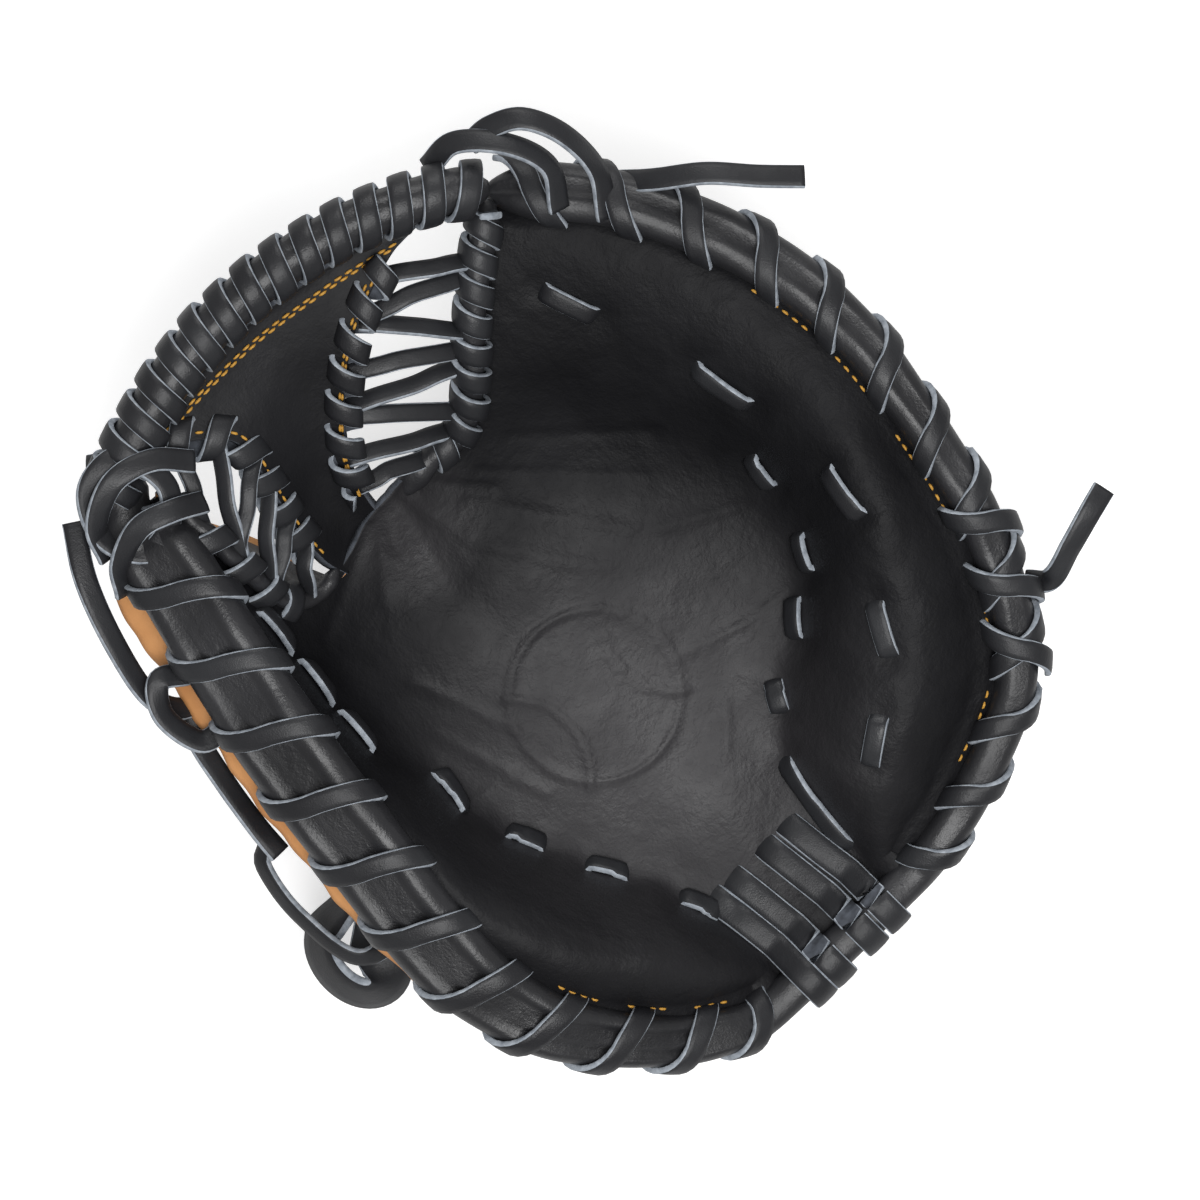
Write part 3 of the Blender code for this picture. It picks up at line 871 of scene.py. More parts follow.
def tilted_frames(line, tilt):
    """Outward and upward vectors of the binding, leaning out by the tilt."""
    outward = outward_in_plan(line)
    along = tangents(line)
    outward = unit(outward - (outward * along).sum(axis=1, keepdims=True) * along)
    rise = unit(np.cross(along, outward))
    rise *= np.sign(rise[:, 2:])
    lean = np.radians(tilt)[:, None]
    return (
        np.cos(lean) * outward - np.sin(lean) * rise,
        np.cos(lean) * rise + np.sin(lean) * outward,
    )


def wrap_advance(turn, lean):
    """Share of a wrap's pitch covered at this part of its turn."""
    if turn < 0.5:
        return lean * turn / 0.5
    return lean + (1 - lean) * (turn - 0.5) / 0.5


def rim_wraps(name, line, sizes, wraps, start, end, clearance=1.1):
    """A lace wound round the binding, slanting from the outside in."""
    outward, rise = tilted_frames(line, sizes[:, 4])
    path, ups = [], []
    for k in range(wraps * RIM_WRAP_POINTS + RIM_WRAP_POINTS // 2 + 1):
        phase = k / RIM_WRAP_POINTS
        whole, turn = int(phase), phase - int(phase)
        along = start + (end - start) * (whole + wrap_advance(turn, WRAP_LEAN)) / (wraps + 0.6)
        along += 0.003 * noise(Vector((whole * 2.3, 0.7, start * 5)))
        at = np.clip(along, 0, 1) * (len(line) - 1)
        middle, side, up = (sampled(values, at) for values in (line, outward, rise))
        half_width, half_height = sampled(sizes[:, 2:4], at) + clearance
        angle = 2 * math.pi * turn
        x, z = blunt(math.cos(angle), 0.82), blunt(math.sin(angle), 0.82)
        path.append(middle + half_width * x * side + half_height * z * up)
        ups.append(unit(x / half_width * side + z / half_height * up))
    return lace(name, path, np.array(ups))


def build_binding():
    """The padded rim, one piece from thumb tip to finger tip, and its wound laces."""
    finger = binding_line(FINGER_SEAM, FINGER_BINDING)
    thumb = binding_line(THUMB_SEAM, THUMB_BINDING)
    rings = []
    for (line, sizes), welts, wraps in ((thumb, 3, THUMB_WRAPS), (finger, 2, FINGER_WRAPS)):
        outward, rise = tilted_frames(line, sizes[:, 4])
        half = []
        for i, (p, side, up) in enumerate(zip(line, outward, rise)):
            share = i / (len(line) - 1)
            squeeze = 1 - 0.10 * math.cos(2 * math.pi * share * wraps)
            taper = math.sqrt(min(1, 0.05 + share * 22))
            depth = 0.5 * np.clip((sizes[i, 2] - 5.8) / 2.2, 0, 1)
            outline = lobed_outline(sizes[i, 2] * taper, sizes[i, 3] * squeeze * taper, welts, depth)
            wander = 0.5 * smooth_noise(p, 14, 5.0)
            half.append(p + outline[:, :1] * side + (outline[:, 1:] + wander) * up)
        rings.append(np.array(half))
    whole = np.concatenate([rings[0], rings[1][-2::-1]])
    obj = sweep("rim_binding", whole, ("rim",))
    put_across_fold(obj, BINDING_BEND, BLACK, "finger_rim_roll", "thumb_rim_roll")
    wraps = rim_wraps("finger_rim_wraps", *finger, FINGER_WRAPS, 0.015, 0.9)
    put(wraps, "fingers", LACE, "finger_rim_lace")
    backwards = (values[::-1] for values in finger)
    put(rim_wraps("finger_rim_cross", *backwards, 2, 0.31, 0.46, 2.9), "fingers", LACE)
    wraps = rim_wraps("thumb_rim_wraps", *thumb, THUMB_WRAPS, 0.06, 0.9)
    put(wraps, "thumb", LACE, "thumb_rim_lace")
    tip = round_roll("thumb_tip_roll", THUMB_TIP, THUMB_TIP_RADIUS, "rim", 50, 20, 0.6, 0.3)
    put(tip, "thumb", BLACK)
    return finger, thumb


HEEL_STRAP_START = -84  # y where the straps come out of the palm
HEEL_STRAP_TURN = 7.6  # their radius round the heel's roll


def build_heel(tree):
    """Four flat straps from the pocket, over the heel and under its roll."""
    for number in range(1, 5):
        node = f"heel_lace_{number}"
        low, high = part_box(node)
        x = (low.x + high.x) / 2 / UNIT
        path, ups = [], []
        for y in np.linspace(HEEL_STRAP_START, -108, 9):
            run = HEEL_STRAP_START - y
            place, normal = drop_onto(tree, x + 0.12 * run - 2.5, y)
            sink = 3.0 * max(0, 1 - run / 4)
            path.append(place + normal * (0.6 * LACE_THICK - sink))
            ups.append(normal)
        for angle in range(118, -60, -16):
            turn = math.radians(angle)
            out = np.array((0, -math.cos(turn), math.sin(turn)))
            path.append(np.array((x + 0.5, HEEL_ROLL_Y, HEEL_ROLL_Z)) + HEEL_STRAP_TURN * out)
            ups.append(out)
        strap = lace(f"heel_strap_{number}", even(path, 40), even(ups, 40), 8.2, 2.2)
        put(strap, "fingers" if number < 3 else "thumb", LACE, node)


# -------------------------------------------------------------------- web

WEB_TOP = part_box("web_panel")[1].z / UNIT
WEB_LEFT = (
    (-58, 121, 104), (-47, 115, 102), (-32, 102, 97), (-35, 84, 86), (-38, 72, 75), (-39, 62, 66),
    (-37, 55, 58),
)
WEB_RIGHT = (
    (54, 109, 103), (36, 108, 102), (15, 101, 97), (-2, 90, 87), (-14, 77, 76), (-18, 66, 66),
    (-19, 56, 58),
)
WEB_SAG = 6.0
WEB_STEPS = 90  # points of the web panel each way
BAR_LINE = ((-66, 117, 101), (-50, 122.5, 104), (-24, 128, 106), (4, 128, 107), (32, 122, 106),
            (56, 111, 103), (68, 102, 99))
BAR_RADIUS = 6.4
BAR_WRAPS = 15


def web_grid():
    """Points of the web panel, from the bar down to the crotch."""
    left, right = spline(WEB_LEFT, WEB_STEPS), spline(WEB_RIGHT, WEB_STEPS)
    across = np.linspace(0, 1, WEB_STEPS)
    grid = left[:, None] + across[None, :, None] * (right - left)[:, None]
    down = across[:, None]
    grid[..., 1] += 6.5 * np.sin(math.pi * across) * (1 - down) ** 2
    grid[..., 2] -= WEB_SAG * np.sin(math.pi * across) * np.sqrt(down)
    grid[..., 2] += WEB_TOP - np.array(WEB_LEFT)[:, 2].max()
    return grid


def across_web(obj, slot, *nodes):
    """A web piece, passed to put_across with the finger tip's and the thumb tip's x."""
    put_across(obj, WEB_RIGHT[0][0], WEB_LEFT[0][0], slot, *nodes)


STITCH_LIFT = 0.35
THREAD_RADIUS = 0.34
STITCH_RINGS = ((-0.5, 0.45), (-0.25, 1.0), (0.25, 1.0), (0.5, 0.45))  # place along, size


def stitch_run(path, ups, pitch, length):
    """Rings of a row of thread stitches along the path."""
    count = max(2, int(length_of(path) / pitch))
    line = even(path, count * 3)
    ups = even(np.asarray(ups, float), count * 3)
    parts = []
    for k in range(1, count * 3 - 1, 3):
        along = unit(line[k + 1] - line[k - 1])
        up = unit(ups[k] - np.dot(ups[k], along) * along)
        side = np.cross(along, up)
        centre = line[k] + STITCH_LIFT * up
        turns = np.linspace(0, 2 * math.pi, 6, endpoint=False)
        ring_list = []
        for step, size in STITCH_RINGS:
            base = centre + length * step * along - (0.3 if abs(step) == 0.5 else 0) * up
            radius = THREAD_RADIUS * size
            ring_list.append([
                base + radius * (1.25 * math.cos(a) * side + math.sin(a) * up) for a in turns
            ])
        parts.append(np.array(ring_list))
    return parts


def stitches(name, runs):
    """One piece of thread from many stitches."""
    points, faces = [], []
    for rings in runs:
        faces += tube_faces(*rings.shape[:2], len(points))
        points.extend(rings.reshape(-1, 3))
    return face_outwards(make_object(name, points, faces, ("thread",)))


WRAP_POINTS = 24  # points of a lace in one turn


def wound_lace(name, line, wraps, half_width, half_height, up=(0, 0, 1), phase=0.0, lean=0.5):
    """A lace wound round a line, as over a bar or through a bound edge."""
    count = int(wraps * WRAP_POINTS) + 1
    phases = [k / WRAP_POINTS for k in range(count)]
    share = [(int(p) + wrap_advance(p - int(p), lean)) / wraps for p in phases]
    dense = even(spline(line, 120), 240)
    at = np.clip(share, 0, 1) * (len(dense) - 1)
    centre, along = sampled(dense, at), sampled(tangents(dense), at)
    side = unit(np.cross(along, np.asarray(up, float)))
    rise = unit(np.cross(side, along))
    angle = phase + 2 * math.pi * np.arange(count)[:, None] / WRAP_POINTS
    jitter = 0.35 * line_noise(centre, 7, 2.0)[:, None]
    path = centre + (half_width + jitter) * np.cos(angle) * side
    path = path + (half_height + jitter) * np.sin(angle) * rise
    out = unit(np.cos(angle) * side / half_width + np.sin(angle) * rise / half_height)
    return lace(name, path, out)


def round_roll(name, line, radius, key, count=90, sides=16, wrinkle=0.35, taper=0.06):
    """A padded roll with closed, tapering ends."""
    path = even(spline(line, count), count)
    along = tangents(path)
    side = unit(np.cross(along, (0, 0, 1)))
    rise = np.cross(side, along)
    turns = np.linspace(0, 2 * math.pi, sides, endpoint=False)
    rings = []
    for i, p in enumerate(path):
        end = min(i, count - 1 - i) / (count - 1)
        size = radius * math.sqrt(min(1, 0.12 + end / taper))
        ring = []
        for a in turns:
            direction = math.cos(a) * side[i] + math.sin(a) * rise[i]
            crease = wrinkle * smooth_noise(p + radius * direction, 5, 1.0)
            ring.append(p + (size + crease) * direction)
        rings.append(ring)
    return sweep(name, rings, (key,))


FINGER_NOTCH = ((66, 100, 94), (54, 92, 91), (39, 80, 85), (25, 67, 72), (14, 61, 63), (2, 62, 61),
                (-10, 61, 58))
THUMB_NOTCH = ((-56, 108, 100), (-56, 92, 98), (-56, 76, 89), (-55, 62, 72), (-48, 57, 62),
               (-38, 58, 60))


WEB_STITCH_ROWS = (11, 13)
WEB_FINGER_STITCHES = (-3, -6)
WEB_THUMB_STITCHES = 4
WEB_EDGE_LIFT = 3.0  # from the panel's middle to the middle of a lace over its edge


def build_web():
    """The web's panel, its bar, its stitches and the laces over its edges."""
    grid = web_grid()
    normals = grid_normals(grid)
    grid = raised(grid, normals, grid_noise(grid, 20, 9.0))
    panel = sheet("web_panel_leather", grid, 1.4 * LEATHER, ("web", "flesh", "flesh"))
    across_web(panel, BLACK, "web_panel")
    across_web(round_roll("web_bar_roll", BAR_LINE, BAR_RADIUS, "rim", 120), BLACK, "web_bar")
    bar_turn = BAR_RADIUS + 1.2
    wraps = wound_lace("web_bar_wraps", BAR_LINE, BAR_WRAPS, bar_turn, bar_turn)
    across_web(wraps, LACE, "web_bar_lace")

    runs = []
    for row in WEB_STITCH_ROWS:
        runs += stitch_run(grid[row, 2:-2], grid_normals(grid)[row, 2:-2], 3.4, 2.5)
    for col in (*WEB_FINGER_STITCHES, WEB_THUMB_STITCHES):
        runs += stitch_run(grid[20:72, col], normals[20:72, col], 3.2, 2.3)
    across_web(stitches("web_stitches", runs), BLACK)

    edge = grid[18:78:6, -1]
    wraps = wound_lace("web_edge_wraps", edge, 7, 4.4, WEB_EDGE_LIFT, phase=0.6)
    across_web(wraps, LACE)
    edge = grid[16:76:6, 1] - 0.7 * LEATHER * normals[16:76:6, 1]
    wraps = wound_lace("web_thumb_edge_wraps", edge, 6, 5.6, WEB_EDGE_LIFT, normals[46, 2], phase=0.6)
    across_web(wraps, LACE)
    return grid


def strands(name, one, other, pairs, width, arch, shift=0.0):
    """Laces that bridge the gap between two edges of the web."""
    one, other = even(spline(one, 60), 60), even(spline(other, 60), 60)
    parts = []
    for number, (a, b) in enumerate(pairs):
        start, end = one[int(a * 59)], other[int(b * 59)]
        middle = (start + end) / 2 + np.array((0, 0, arch + 1.6 * (number % 2)))
        bend = np.array((shift * (-1) ** number, -shift * (-1) ** number, 0))
        keys = (start + np.array((0, 0, -1.5)), start * 0.75 + end * 0.25 + np.array((0, 0, arch)),
                middle + bend, start * 0.25 + end * 0.75 + np.array((0, 0, arch)),
                end + np.array((0, 0, -1.5)))
        roll_over = 0.35 * (-1) ** number
        parts.append(lace(f"{name}_{number}", spline(keys, 26), (roll_over, 0.2, 1), width))
    return joined(name, parts)


# Where each lace starts on the web's edge and ends on the palm's, as shares.
FINGER_STRANDS = (
    (0.0, 0.04), (0.20, 0.10), (0.22, 0.34), (0.45, 0.42), (0.62, 0.48), (0.66, 0.72), (0.85, 0.80),
    (1.0, 0.98),
)
THUMB_STRANDS = ((0.0, 0.05), (0.18, 0.36), (0.36, 0.30), (0.50, 0.62), (0.70, 0.66), (0.88, 0.95))


def build_web_laces(grid):
    """The laces that tie the web to the fingers and to the thumb."""
    edge = grid[20:69:12, -1]
    bridge = strands("web_finger_strands", edge, FINGER_NOTCH[1:6], FINGER_STRANDS, 5.4, 1.8, 1.2)
    across_web(bridge, LACE, "web_lace_finger")
    edge = grid[[18, 32, 46, 60, 72], 0]
    bridge = strands("web_thumb_strands", edge, THUMB_NOTCH[1:5], THUMB_STRANDS, 4.8, 2.2, 0.5)
    across_web(bridge, LACE, "web_lace_thumb")


def build_notches():
    """The bound edges of the palm beside the web, with their laces."""
    finger = round_roll("finger_notch_binding", FINGER_NOTCH, 4.0, "rim", 90, wrinkle=0.9)
    put_across_fold(finger, CROTCH_BEND, BLACK, "crotch_binding")
    line = even(spline(FINGER_NOTCH, 60), 60)[3:54]
    put(wound_lace("finger_notch_wraps", line[::6], 9, 5.0, 5.2, lean=0.6), "fingers", LACE)
    put(round_roll("thumb_notch_binding", THUMB_NOTCH, 2.6, "rim", 80, wrinkle=0.7), "thumb", BLACK)
    line = even(spline(THUMB_NOTCH, 60), 60)[2:52] - (2.0, 0, 0)
    put(wound_lace("thumb_notch_wraps", line[::6], 5, 6.4, 3.8, lean=0.6), "thumb", LACE)


# ------------------------------------------------------ knots and loose ends

# For each loose lace: its name, the node it stands for, and the points it runs through.
LOOSE_LACES = {
    "fingers": (
        ("top_lace_end", "top_lace_tail",
         ((96, 78, 88), (103, 71, 95), (114, 62, 99), (124, 51, 98), (133, 42, 96))),
        ("tip_lace_loop", "tip_lace_tail",
         ((73, 114, 104), (80, 113, 109), (88, 108, 111), (93, 97, 108), (93, 84, 100), (86, 73, 93))),
        ("tip_lace_knot", None,
         ((60, 118, 100), (70, 117, 108), (80, 106, 110), (84, 94, 105), (78, 84, 97))),
        ("side_lace_end", "side_lace_tail",
         ((99, -84, 62), (104, -88, 70), (114, -85, 77), (124, -82, 80), (132, -80, 79))),
    ),
    "thumb": (
        ("thumb_lace_end", "thumb_lace_tail",
         ((-80, 118, 99), (-89, 104, 100), (-96, 86, 97), (-100, 69, 90), (-96, 60, 84), (-89, 62, 80))),
        ("thumb_knot_end", "thumb_knot_tail",
         ((-92, 60, 82), (-99, 52, 82), (-103, 38, 76), (-106, 22, 70), (-107, 12, 68))),
        ("thumb_tip_loop", None,
         ((-50, 116, 104), (-60, 122, 110), (-71, 120, 109), (-77, 109, 104), (-72, 98, 101),
          (-60, 96, 102))),
        ("thumb_tip_knot", None,
         ((-66, 126, 100), (-56, 118, 109), (-54, 106, 108), (-62, 98, 104), (-74, 96, 100))),
        ("thumb_tip_wrap", None,
         ((-44, 106, 103), (-52, 114, 110), (-64, 117, 112), (-76, 112, 107), (-80, 104, 100))),
        ("thumb_tip_band", None,
         ((-50, 96, 103), (-58, 100, 111), (-68, 103, 111), (-79, 100, 103), (-84, 94, 95))),
        ("thumb_knot_loop", None,
         ((-88, 66, 90), (-95, 70, 94), (-101, 62, 92), (-99, 50, 88), (-91, 48, 86))),
    ),
}
LACE_TWIST = 0.5


def build_loose_ends():
    """The lace ends and loops that hang free, each twisted a little along its length."""
    twist = LACE_TWIST * np.sin(np.linspace(0, 2.4, 48))
    ups = np.column_stack([0.1 + twist, 0.1 - 0.5 * twist, np.ones(48)])
    for body, laces in LOOSE_LACES.items():
        for name, node, keys in laces:
            piece = lace(name, even(spline(keys, 60), 48), ups, 1.05 * LACE_WIDTH)
            put(piece, body, LACE, *filter(None, [node]))


def build_thumb_edge():
    """The tan lining that shows outside the thumb binding."""
    shown = slice(14, 128)
    seam = THUMB_SEAM[shown]
    outward = outward_in_plan(THUMB_SEAM)[shown]
    share = np.linspace(0, 1, len(seam))[:, None]
    wave = 1.3 * line_noise(seam, 11, 4.0)[:, None]
    grid = hang(
        seam, outward, np.linspace(0, 1, 9),
        lambda t: 15 + (13 - 3 * share + 1.6 * wave) * t - 2.5 * share,
        lambda t: 10.5 + 3.0 * t - 1.5 * math.sin(math.pi * t),
    )
    strip = sheet("thumb_edge_tan", grid, 1.6, ("tan", "tan", "tan"))
    put(strip, "thumb", TAN, "thumb_edge_lining")


CURL_RADIUS = 11.0
CURL_TILT = (48, 22)  # degrees that the curl's face leans up, at its start and end


def build_strap_end():
    """The strap's curled end outside the thumb, and the lace through it."""
    low, high = np.array(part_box("strap_tab")) / UNIT
    left, middle_y, floor_z = low[0], (low[1] + high[1]) / 2, low[2]
    right, top_z = high[0], high[2]
    keys = [
        (right + 17, middle_y + 15, floor_z + 3), (right, middle_y + 14, floor_z + 5),
        (right - 12, middle_y + 12.5, floor_z + 8),
    ]
    for angle in range(90, 420, 20):
        turn = math.radians(angle)
        wound = angle - 90
        size = CURL_RADIUS - 0.014 * wound
        x = left + 4 + 0.85 * size * math.cos(turn)
        y = middle_y - 2 + 1.25 * size * math.sin(turn)
        keys.append((x, y, floor_z + 10 + 0.02 * wound))
    path = even(spline(keys, 90), 80)
    lean = np.radians(np.linspace(*CURL_TILT, 80))[:, None]
    inward = unit(path - path.mean(axis=0))
    up = np.cos(lean) * inward + np.sin(lean) * np.array((0, 0, 1.0))
    curl = lace("strap_end_curl", path, up, 0.62 * (high[1] - low[1]), 2.8)
    put(curl, "strap_end", BLACK, "strap_tab")

    near_y, far_y = (corner.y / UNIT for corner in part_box("strap_pull_lace"))
    keys = (
        (right - 6, near_y - 4, floor_z + 16), (left + 6, near_y, floor_z + 24),
        (left + 2, (near_y + far_y) / 2, top_z + 7), (left + 5, far_y - 4, top_z + 11),
        (left + 10, far_y, top_z + 10),
    )
    pull = lace("strap_pull", even(spline(keys, 40), 40), (-0.7, 0.1, 0.7), 0.9 * LACE_WIDTH)
    put(pull, "strap_end", LACE, "strap_pull_lace")


# ------------------------------------------------------- back and hand side

# For each half: its seam and notch, the foot of the back leather (x y on the floor), how
# far its top is under the seam, and where the padded ridges run, as shares of its length.
BACK_HALVES = (
    ("finger", FINGER_SEAM, FINGER_NOTCH,
     ((6, 44), (-2, 36), (-8, 22), (-9, 5), (-8, -12), (10, -30), (34, -50), (44, -78), (44, -84),
      (44, -88)), 9.0, (0.10, 0.27, 0.44, 0.61, 0.80)),
    ("thumb", THUMB_SEAM, THUMB_NOTCH,
     ((-34, 40), (-28, 34), (-24, 24), (-22, 10), (-24, -8), (-30, -28), (-38, -48), (-46, -76),
      (-46, -84), (-46, -88)), 12.0, (0.18, 0.42, 0.66, 0.88)),
)
BODY_OF = {"finger": "fingers", "thumb": "thumb", "wrist": "strap"}
SHELL_SHARE = 0.82
SHELL_ROWS, SHELL_COLS = 150, 56
SHELL_DOWN = 1.25  # 1 is where the leather meets the floor, and the rest lies on it
HEEL_CUT = 0.16  # the back leather ends sooner towards the floor
SEAM_COLS = slice(4, 40)  # the part of a cord's row that stays clear of the floor


def shell_grid(seam, foot_keys, drop, ridges):
    """The back leather: from under the binding, down and round to the floor."""
    seam = even(seam, 200)
    start = seam + 8.5 * outward_in_plan(seam)
    start[:, 2] -= drop
    feet = np.column_stack([spline(foot_keys, 200), np.zeros(200)])
    used = np.linspace(0, SHELL_SHARE * 199, SHELL_ROWS)
    columns = []
    for t in np.linspace(0, SHELL_DOWN, SHELL_COLS):
        at = used * (1 - HEEL_CUT * (t / SHELL_DOWN) ** 2)
        rim, foot = sampled(start, at), sampled(feet, at)
        angle = min(t, 1) * math.pi / 2
        share = 0.72 * (1 - math.cos(angle)) ** 1.02 + 0.28 * max(0, t - 1) / (SHELL_DOWN - 1)
        p = rim + (foot - rim) * share
        p[:, 2] = rim[:, 2] * (1 - math.sin(angle))
        columns.append(p)
    grid = np.stack(columns, axis=1)
    normals = facing(grid_normals(grid), grid - (FOLD_X, 0, FOLD_Z))
    flat = np.clip(1 - grid[..., 2:] / 6, 0, 1)
    normals = unit(normals * (1 - flat) + flat * np.array((0, 0, -1.0)))
    share = np.linspace(0, 1, SHELL_ROWS)[:, None]
    down = np.linspace(0, SHELL_DOWN, SHELL_COLS)[None, :]
    puff = 2.6 * sum(bell(share - ridge, 0.052) for ridge in ridges)
    puff = puff - 1.4 * sum(bell(share - valley, 0.007) for valley in between(ridges))
    rumple = grid_noise(grid, 24, 6.0)
    fade = np.clip(down / 0.15, 0, 1) * np.clip((1.0 - down) / 0.35, 0, 1)
    return raised(grid, normals, (puff - 1.6 + rumple) * fade), normals


def between(places):
    return [(a + b) / 2 for a, b in zip(places[:-1], places[1:])]


def build_back():
    """Back leather with its ridges, cords, seams and edge, and the leather beside the web."""
    for side, seam, notch, feet, drop, ridges in BACK_HALVES:
        body = BODY_OF[side]
        grid, normals = shell_grid(seam, feet, drop, ridges)
        hide = sheet(f"{side}_back_leather", grid, LEATHER, ("back", "tan", "flesh"), normals)
        put(hide, body, BLACK, f"{side}_back_shell")
        cords, runs = [], []
        for number, valley in enumerate(between(ridges)):
            row = int(valley * (SHELL_ROWS - 1))
            path = grid[row, SEAM_COLS] + 0.5 * normals[row, SEAM_COLS]
            cords.append(round_roll(f"{side}_cord_{number}", path[::6], 1.1, "rim", 60, 8, 0.0))
            for beside in (row - 3, row + 3):
                runs += stitch_run(grid[beside, SEAM_COLS], normals[beside, SEAM_COLS], 3.4, 2.3)
        for col in (3, 5):
            runs += stitch_run(grid[3:-3, col], normals[3:-3, col], 3.4, 2.3)
        put(joined(f"{side}_back_cords", cords), body, BLACK)
        edge = grid[-1, ::5] + (0, 1.2, 1.6)
        put(round_roll(f"{side}_back_edge", edge, 1.9, "rim", 70, 10, 0.3), body, BLACK)
        low = grid[0] - 1.2 * unit(grid[4] - grid[0]) + (0, 0, LEATHER + 0.4)
        build_notch_wall(f"{side}_notch_wall", notch, low)
        put(stitches(f"{side}_back_stitches", runs), body, BLACK)


def build_notch_wall(name, notch, low):
    """Leather beside the web, from the palm's notch down to the back leather."""
    top = even(spline(notch, 80), len(low)) - (0, 0, 3.0)
    inward = np.array((FOLD_X, 60.0, FOLD_Z))
    columns = []
    for t in np.linspace(0, 1, 16):
        p = top + (low - top) * t
        swell = line_noise(p, 22, 2.0)[:, None]
        columns.append(p + 2.2 * math.sin(math.pi * t) * (0.6 + swell) * unit(inward - p))
    grid = np.stack(columns, axis=1)
    normals = facing(grid_normals(grid), inward - grid)
    wall = sheet(name, grid, LEATHER, ("back", "tan", "flesh"), normals)
    put_across_fold(wall, PALM_BEND, BLACK)


def build_heel_facing(finger_line, thumb_line):
    """The palm leather turned under at the heel, down to the lining."""
    lining_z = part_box("finger_lining")[0].z / UNIT
    heel = np.concatenate([thumb_line, finger_line[-2::-1]])
    heel = heel[(heel[:, 1] < -84)]
    columns = []
    for place in even(heel, 90):
        low_z = lining_z + 1 + 0.55 * max(0, place[2] - 48)
        drop = []
        for t in np.linspace(0, 1, 14):
            fold = 1.5 * math.sin(math.pi * t)
            x = place[0] + (FOLD_X - place[0]) * 0.10 * t
            z = place[2] - 1 + (low_z - place[2] + 1) * t
            y = place[1] + 1.5 + 6.5 * t**1.4 - fold + 0.4 * smooth_noise((x, 0, z), 9)
            drop.append((x, y, z))
        columns.append(drop)
    grid = np.array(columns)
    normals = facing(grid_normals(grid), (0, -1, 0))
    flap = sheet("heel_facing", grid, LEATHER, ("rim", "tan", "flesh"), normals)
    put_across_fold(flap, PALM_BEND, BLACK)


def build_welt(body, seam, drop_top, drop_low):
    """Welt that closes the gap between the rim binding and the back leather."""
    grid = hang(
        seam, outward_in_plan(seam), np.linspace(0, 1, 7),
        lambda t: 9.5 + 1.8 * math.sin(math.pi * t),
        lambda t: drop_top + (drop_low - drop_top) * t,
    )
    name = body.removesuffix("s") + "_welt"
    put(sheet(name, grid, 1.8, ("rim", "tan", "flesh")), body, BLACK)


# What each soft piece is made of: its material, its slot, how far it swells, the end of
# its name, and the CAD nodes whose shape and place it takes.
SOFT_PIECES = (
    ("tan", TAN, 0.0, "leather", ("finger_lining", "thumb_lining")),
    ("felt", "pad_felt", -0.6, "felt",
     ("finger_pocket_pad", "thumb_pocket_pad", "finger_side_pad", "thumb_side_pad")),
    ("tan", TAN, 0.4, "leather",
     ("index_stall", "middle_stall", "ring_stall", "little_stall", "thumb_stall")),
    ("back", BLACK, 0.1, "leather", ("little_finger_loop", "thumb_loop", "wrist_strap")),
    ("fleece", "strap_fleece", 0.6, "padding", ("wrist_strap_fleece",)),
)


def build_hand_side(tree):
    """Linings, pads, stalls, loops and the wrist strap, softened from the CAD."""
    build_welt("fingers", FINGER_SEAM, 4.0, 12.0)
    build_welt("thumb", THUMB_SEAM, 6.0, 15.0)
    copies = []
    for key, slot, swell, ending, nodes in SOFT_PIECES:
        for node in nodes:
            stem = node.removesuffix("_pad").removesuffix("_fleece")
            body = BODY_OF.get(node.split("_")[0], "fingers")
            copies.append((rounded_copy(f"{stem}_{ending}", node), key, slot, swell, body, node))
    graph = bpy.context.evaluated_depsgraph_get()
    for copy, key, slot, swell, body, node in copies:
        piece = soften(copy, graph, key, swell)
        if key == "felt":
            keep_under(piece, tree, LEATHER + 2.0)
        put(piece, body, slot, node)


# Where the thread shows between the rim's laces, as shares of the binding's length.
FINGER_THREAD = ((0.26, 0.33), (0.36, 0.42), (0.45, 0.55), (0.62, 0.68), (0.72, 0.80))
THUMB_THREAD = ((0.64, 0.70), (0.73, 0.78), (0.81, 0.86))


def build_rim_stitches(finger, thumb, tree):
    """Gold thread along the inside of the rim binding."""
    for body, (line, sizes), spans in (
        ("fingers", finger, FINGER_THREAD), ("thumb", thumb, THUMB_THREAD),
    ):
        outward, _ = tilted_frames(line, sizes[:, 4])
        last = BINDING_STEPS - 1
        runs = []
        for start, end in spans:
            path, ups = [], []
            for k in range(int(start * last), int(end * last)):
                inner = line[k] - (sizes[k, 2] + 1.6) * outward[k]
                place, normal = drop_onto(tree, inner[0], inner[1])
                path.append(place)
                ups.append(normal)
            runs += stitch_run(np.array(path), np.array(ups), 3.0, 2.2)
        put(stitches(f"{body}_rim_stitches", runs), body, BLACK)


# ------------------------------------------------------------------- stage


FLOOR_GLOW = 0.5  # lifts the floor to near white, for the camera only
SKY_LIGHT = 0.35
SKY_SEEN = 0.86


def seen_by_camera(tree, hidden, seen):
    """A value that is `seen` for camera rays and `hidden` for all others."""
    ray = tree.nodes.new("ShaderNodeLightPath").outputs["Is Camera Ray"]
    value = tree.nodes.new("ShaderNodeMapRange")
    value.inputs["To Min"].default_value = hidden
    value.inputs["To Max"].default_value = seen
    tree.links.new(ray, value.inputs["Value"])
    return value.outputs["Result"]


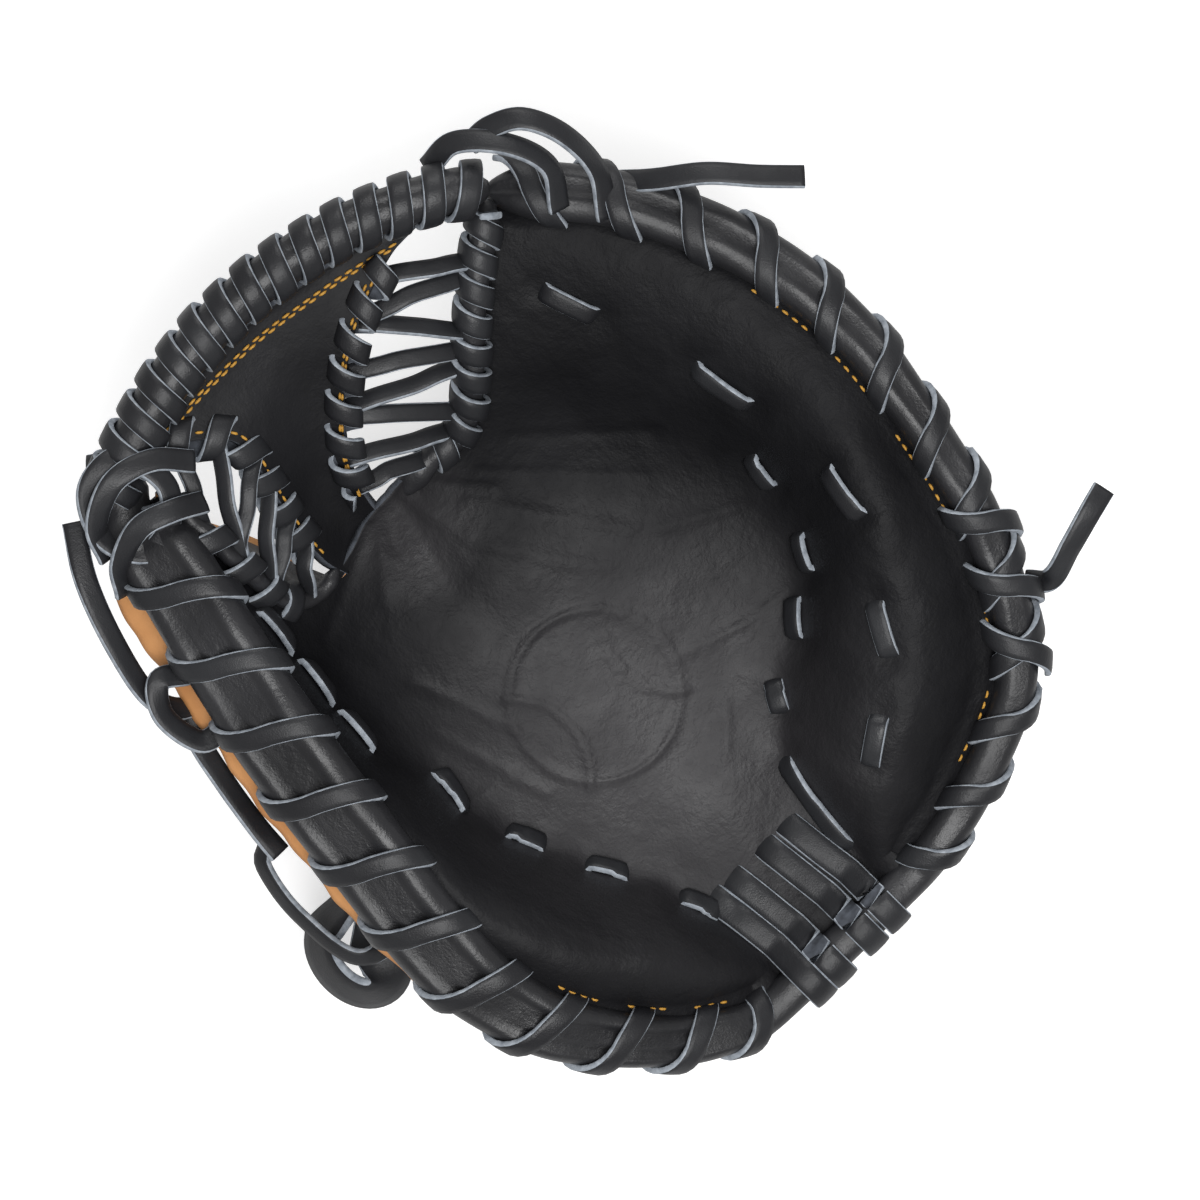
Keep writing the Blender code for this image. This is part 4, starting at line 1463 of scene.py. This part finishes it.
def build_stage():
    """A plain pale floor under the mitt."""
    mesh = bpy.data.meshes.new("floor")
    reach = 3.0
    corners = [(-reach, -reach), (reach, -reach), (reach, reach), (-reach, reach)]
    mesh.from_pydata([(x, y, FLOOR_Z - 0.0005) for x, y in corners], [], [(0, 1, 2, 3)])
    floor = bpy.data.objects.new("floor", mesh)
    bpy.context.scene.collection.objects.link(floor)
    paint = bpy.data.materials.new("floor_paint")
    paint.use_nodes = True
    shader = paint.node_tree.nodes["Principled BSDF"]
    shader.inputs["Base Color"].default_value = (0.86, 0.86, 0.86, 1)
    shader.inputs["Roughness"].default_value = 0.9
    shader.inputs["Emission Color"].default_value = (1, 1, 1, 1)
    glow = seen_by_camera(paint.node_tree, 0, FLOOR_GLOW)
    paint.node_tree.links.new(glow, shader.inputs["Emission Strength"])
    mesh.materials.append(paint)


def area_light(name, place, target, size, power):
    data = bpy.data.lights.new(name, "AREA")
    data.size = size
    data.energy = power
    light = bpy.data.objects.new(name, data)
    light.location = place
    light.rotation_euler = (Vector(target) - Vector(place)).to_track_quat("-Z", "Y").to_euler()
    bpy.context.scene.collection.objects.link(light)


def build_lights():
    """One soft light overhead, a weaker one to the side, and an even sky."""
    middle = (REST_LOW + REST_HIGH) / 2
    area_light("overhead", middle + Vector((-0.15, -0.35, 1.30)), middle, 0.8, 15)
    area_light("rim_side", middle + Vector((0.85, 0.85, 0.75)), middle, 0.6, 5)
    world = bpy.data.worlds.new("studio")
    world.use_nodes = True
    shade = world.node_tree.nodes["Background"]
    shade.inputs["Color"].default_value = (1, 1, 1, 1)
    strength = seen_by_camera(world.node_tree, SKY_LIGHT, SKY_SEEN)
    world.node_tree.links.new(strength, shade.inputs["Strength"])
    bpy.context.scene.world = world
    bpy.context.scene.view_settings.view_transform = "Standard"


VIEW_CENTRE = (8.7, -1.4)
VIEW_WIDTH = 342.0
VIEW_DISTANCE = 1500.0
VIEW_TURN = math.radians(-45)


def build_camera():
    """A camera straight above, turned so that the mitt's top is at the upper left."""
    data = bpy.data.cameras.new("camera")
    camera = bpy.data.objects.new("camera", data)
    bpy.context.scene.collection.objects.link(camera)
    bpy.context.scene.camera = camera
    subject_z = 70.0
    data.lens = data.sensor_width * VIEW_DISTANCE / VIEW_WIDTH
    camera.location = Vector((*VIEW_CENTRE, subject_z + VIEW_DISTANCE)) * UNIT
    camera.rotation_euler = (0, 0, VIEW_TURN)
    data.clip_start, data.clip_end = 0.05, 20


def build():
    tree = build_palm()
    build_surface_laces(tree)
    finger, thumb = build_binding()
    build_heel(tree)
    web = build_web()
    build_web_laces(web)
    build_notches()
    build_loose_ends()
    build_thumb_edge()
    build_strap_end()
    build_back()
    build_heel_facing(finger[0], thumb[0])
    build_hand_side(tree)
    build_rim_stitches(finger, thumb, tree)
    build_stage()
    build_lights()
    build_camera()


build()
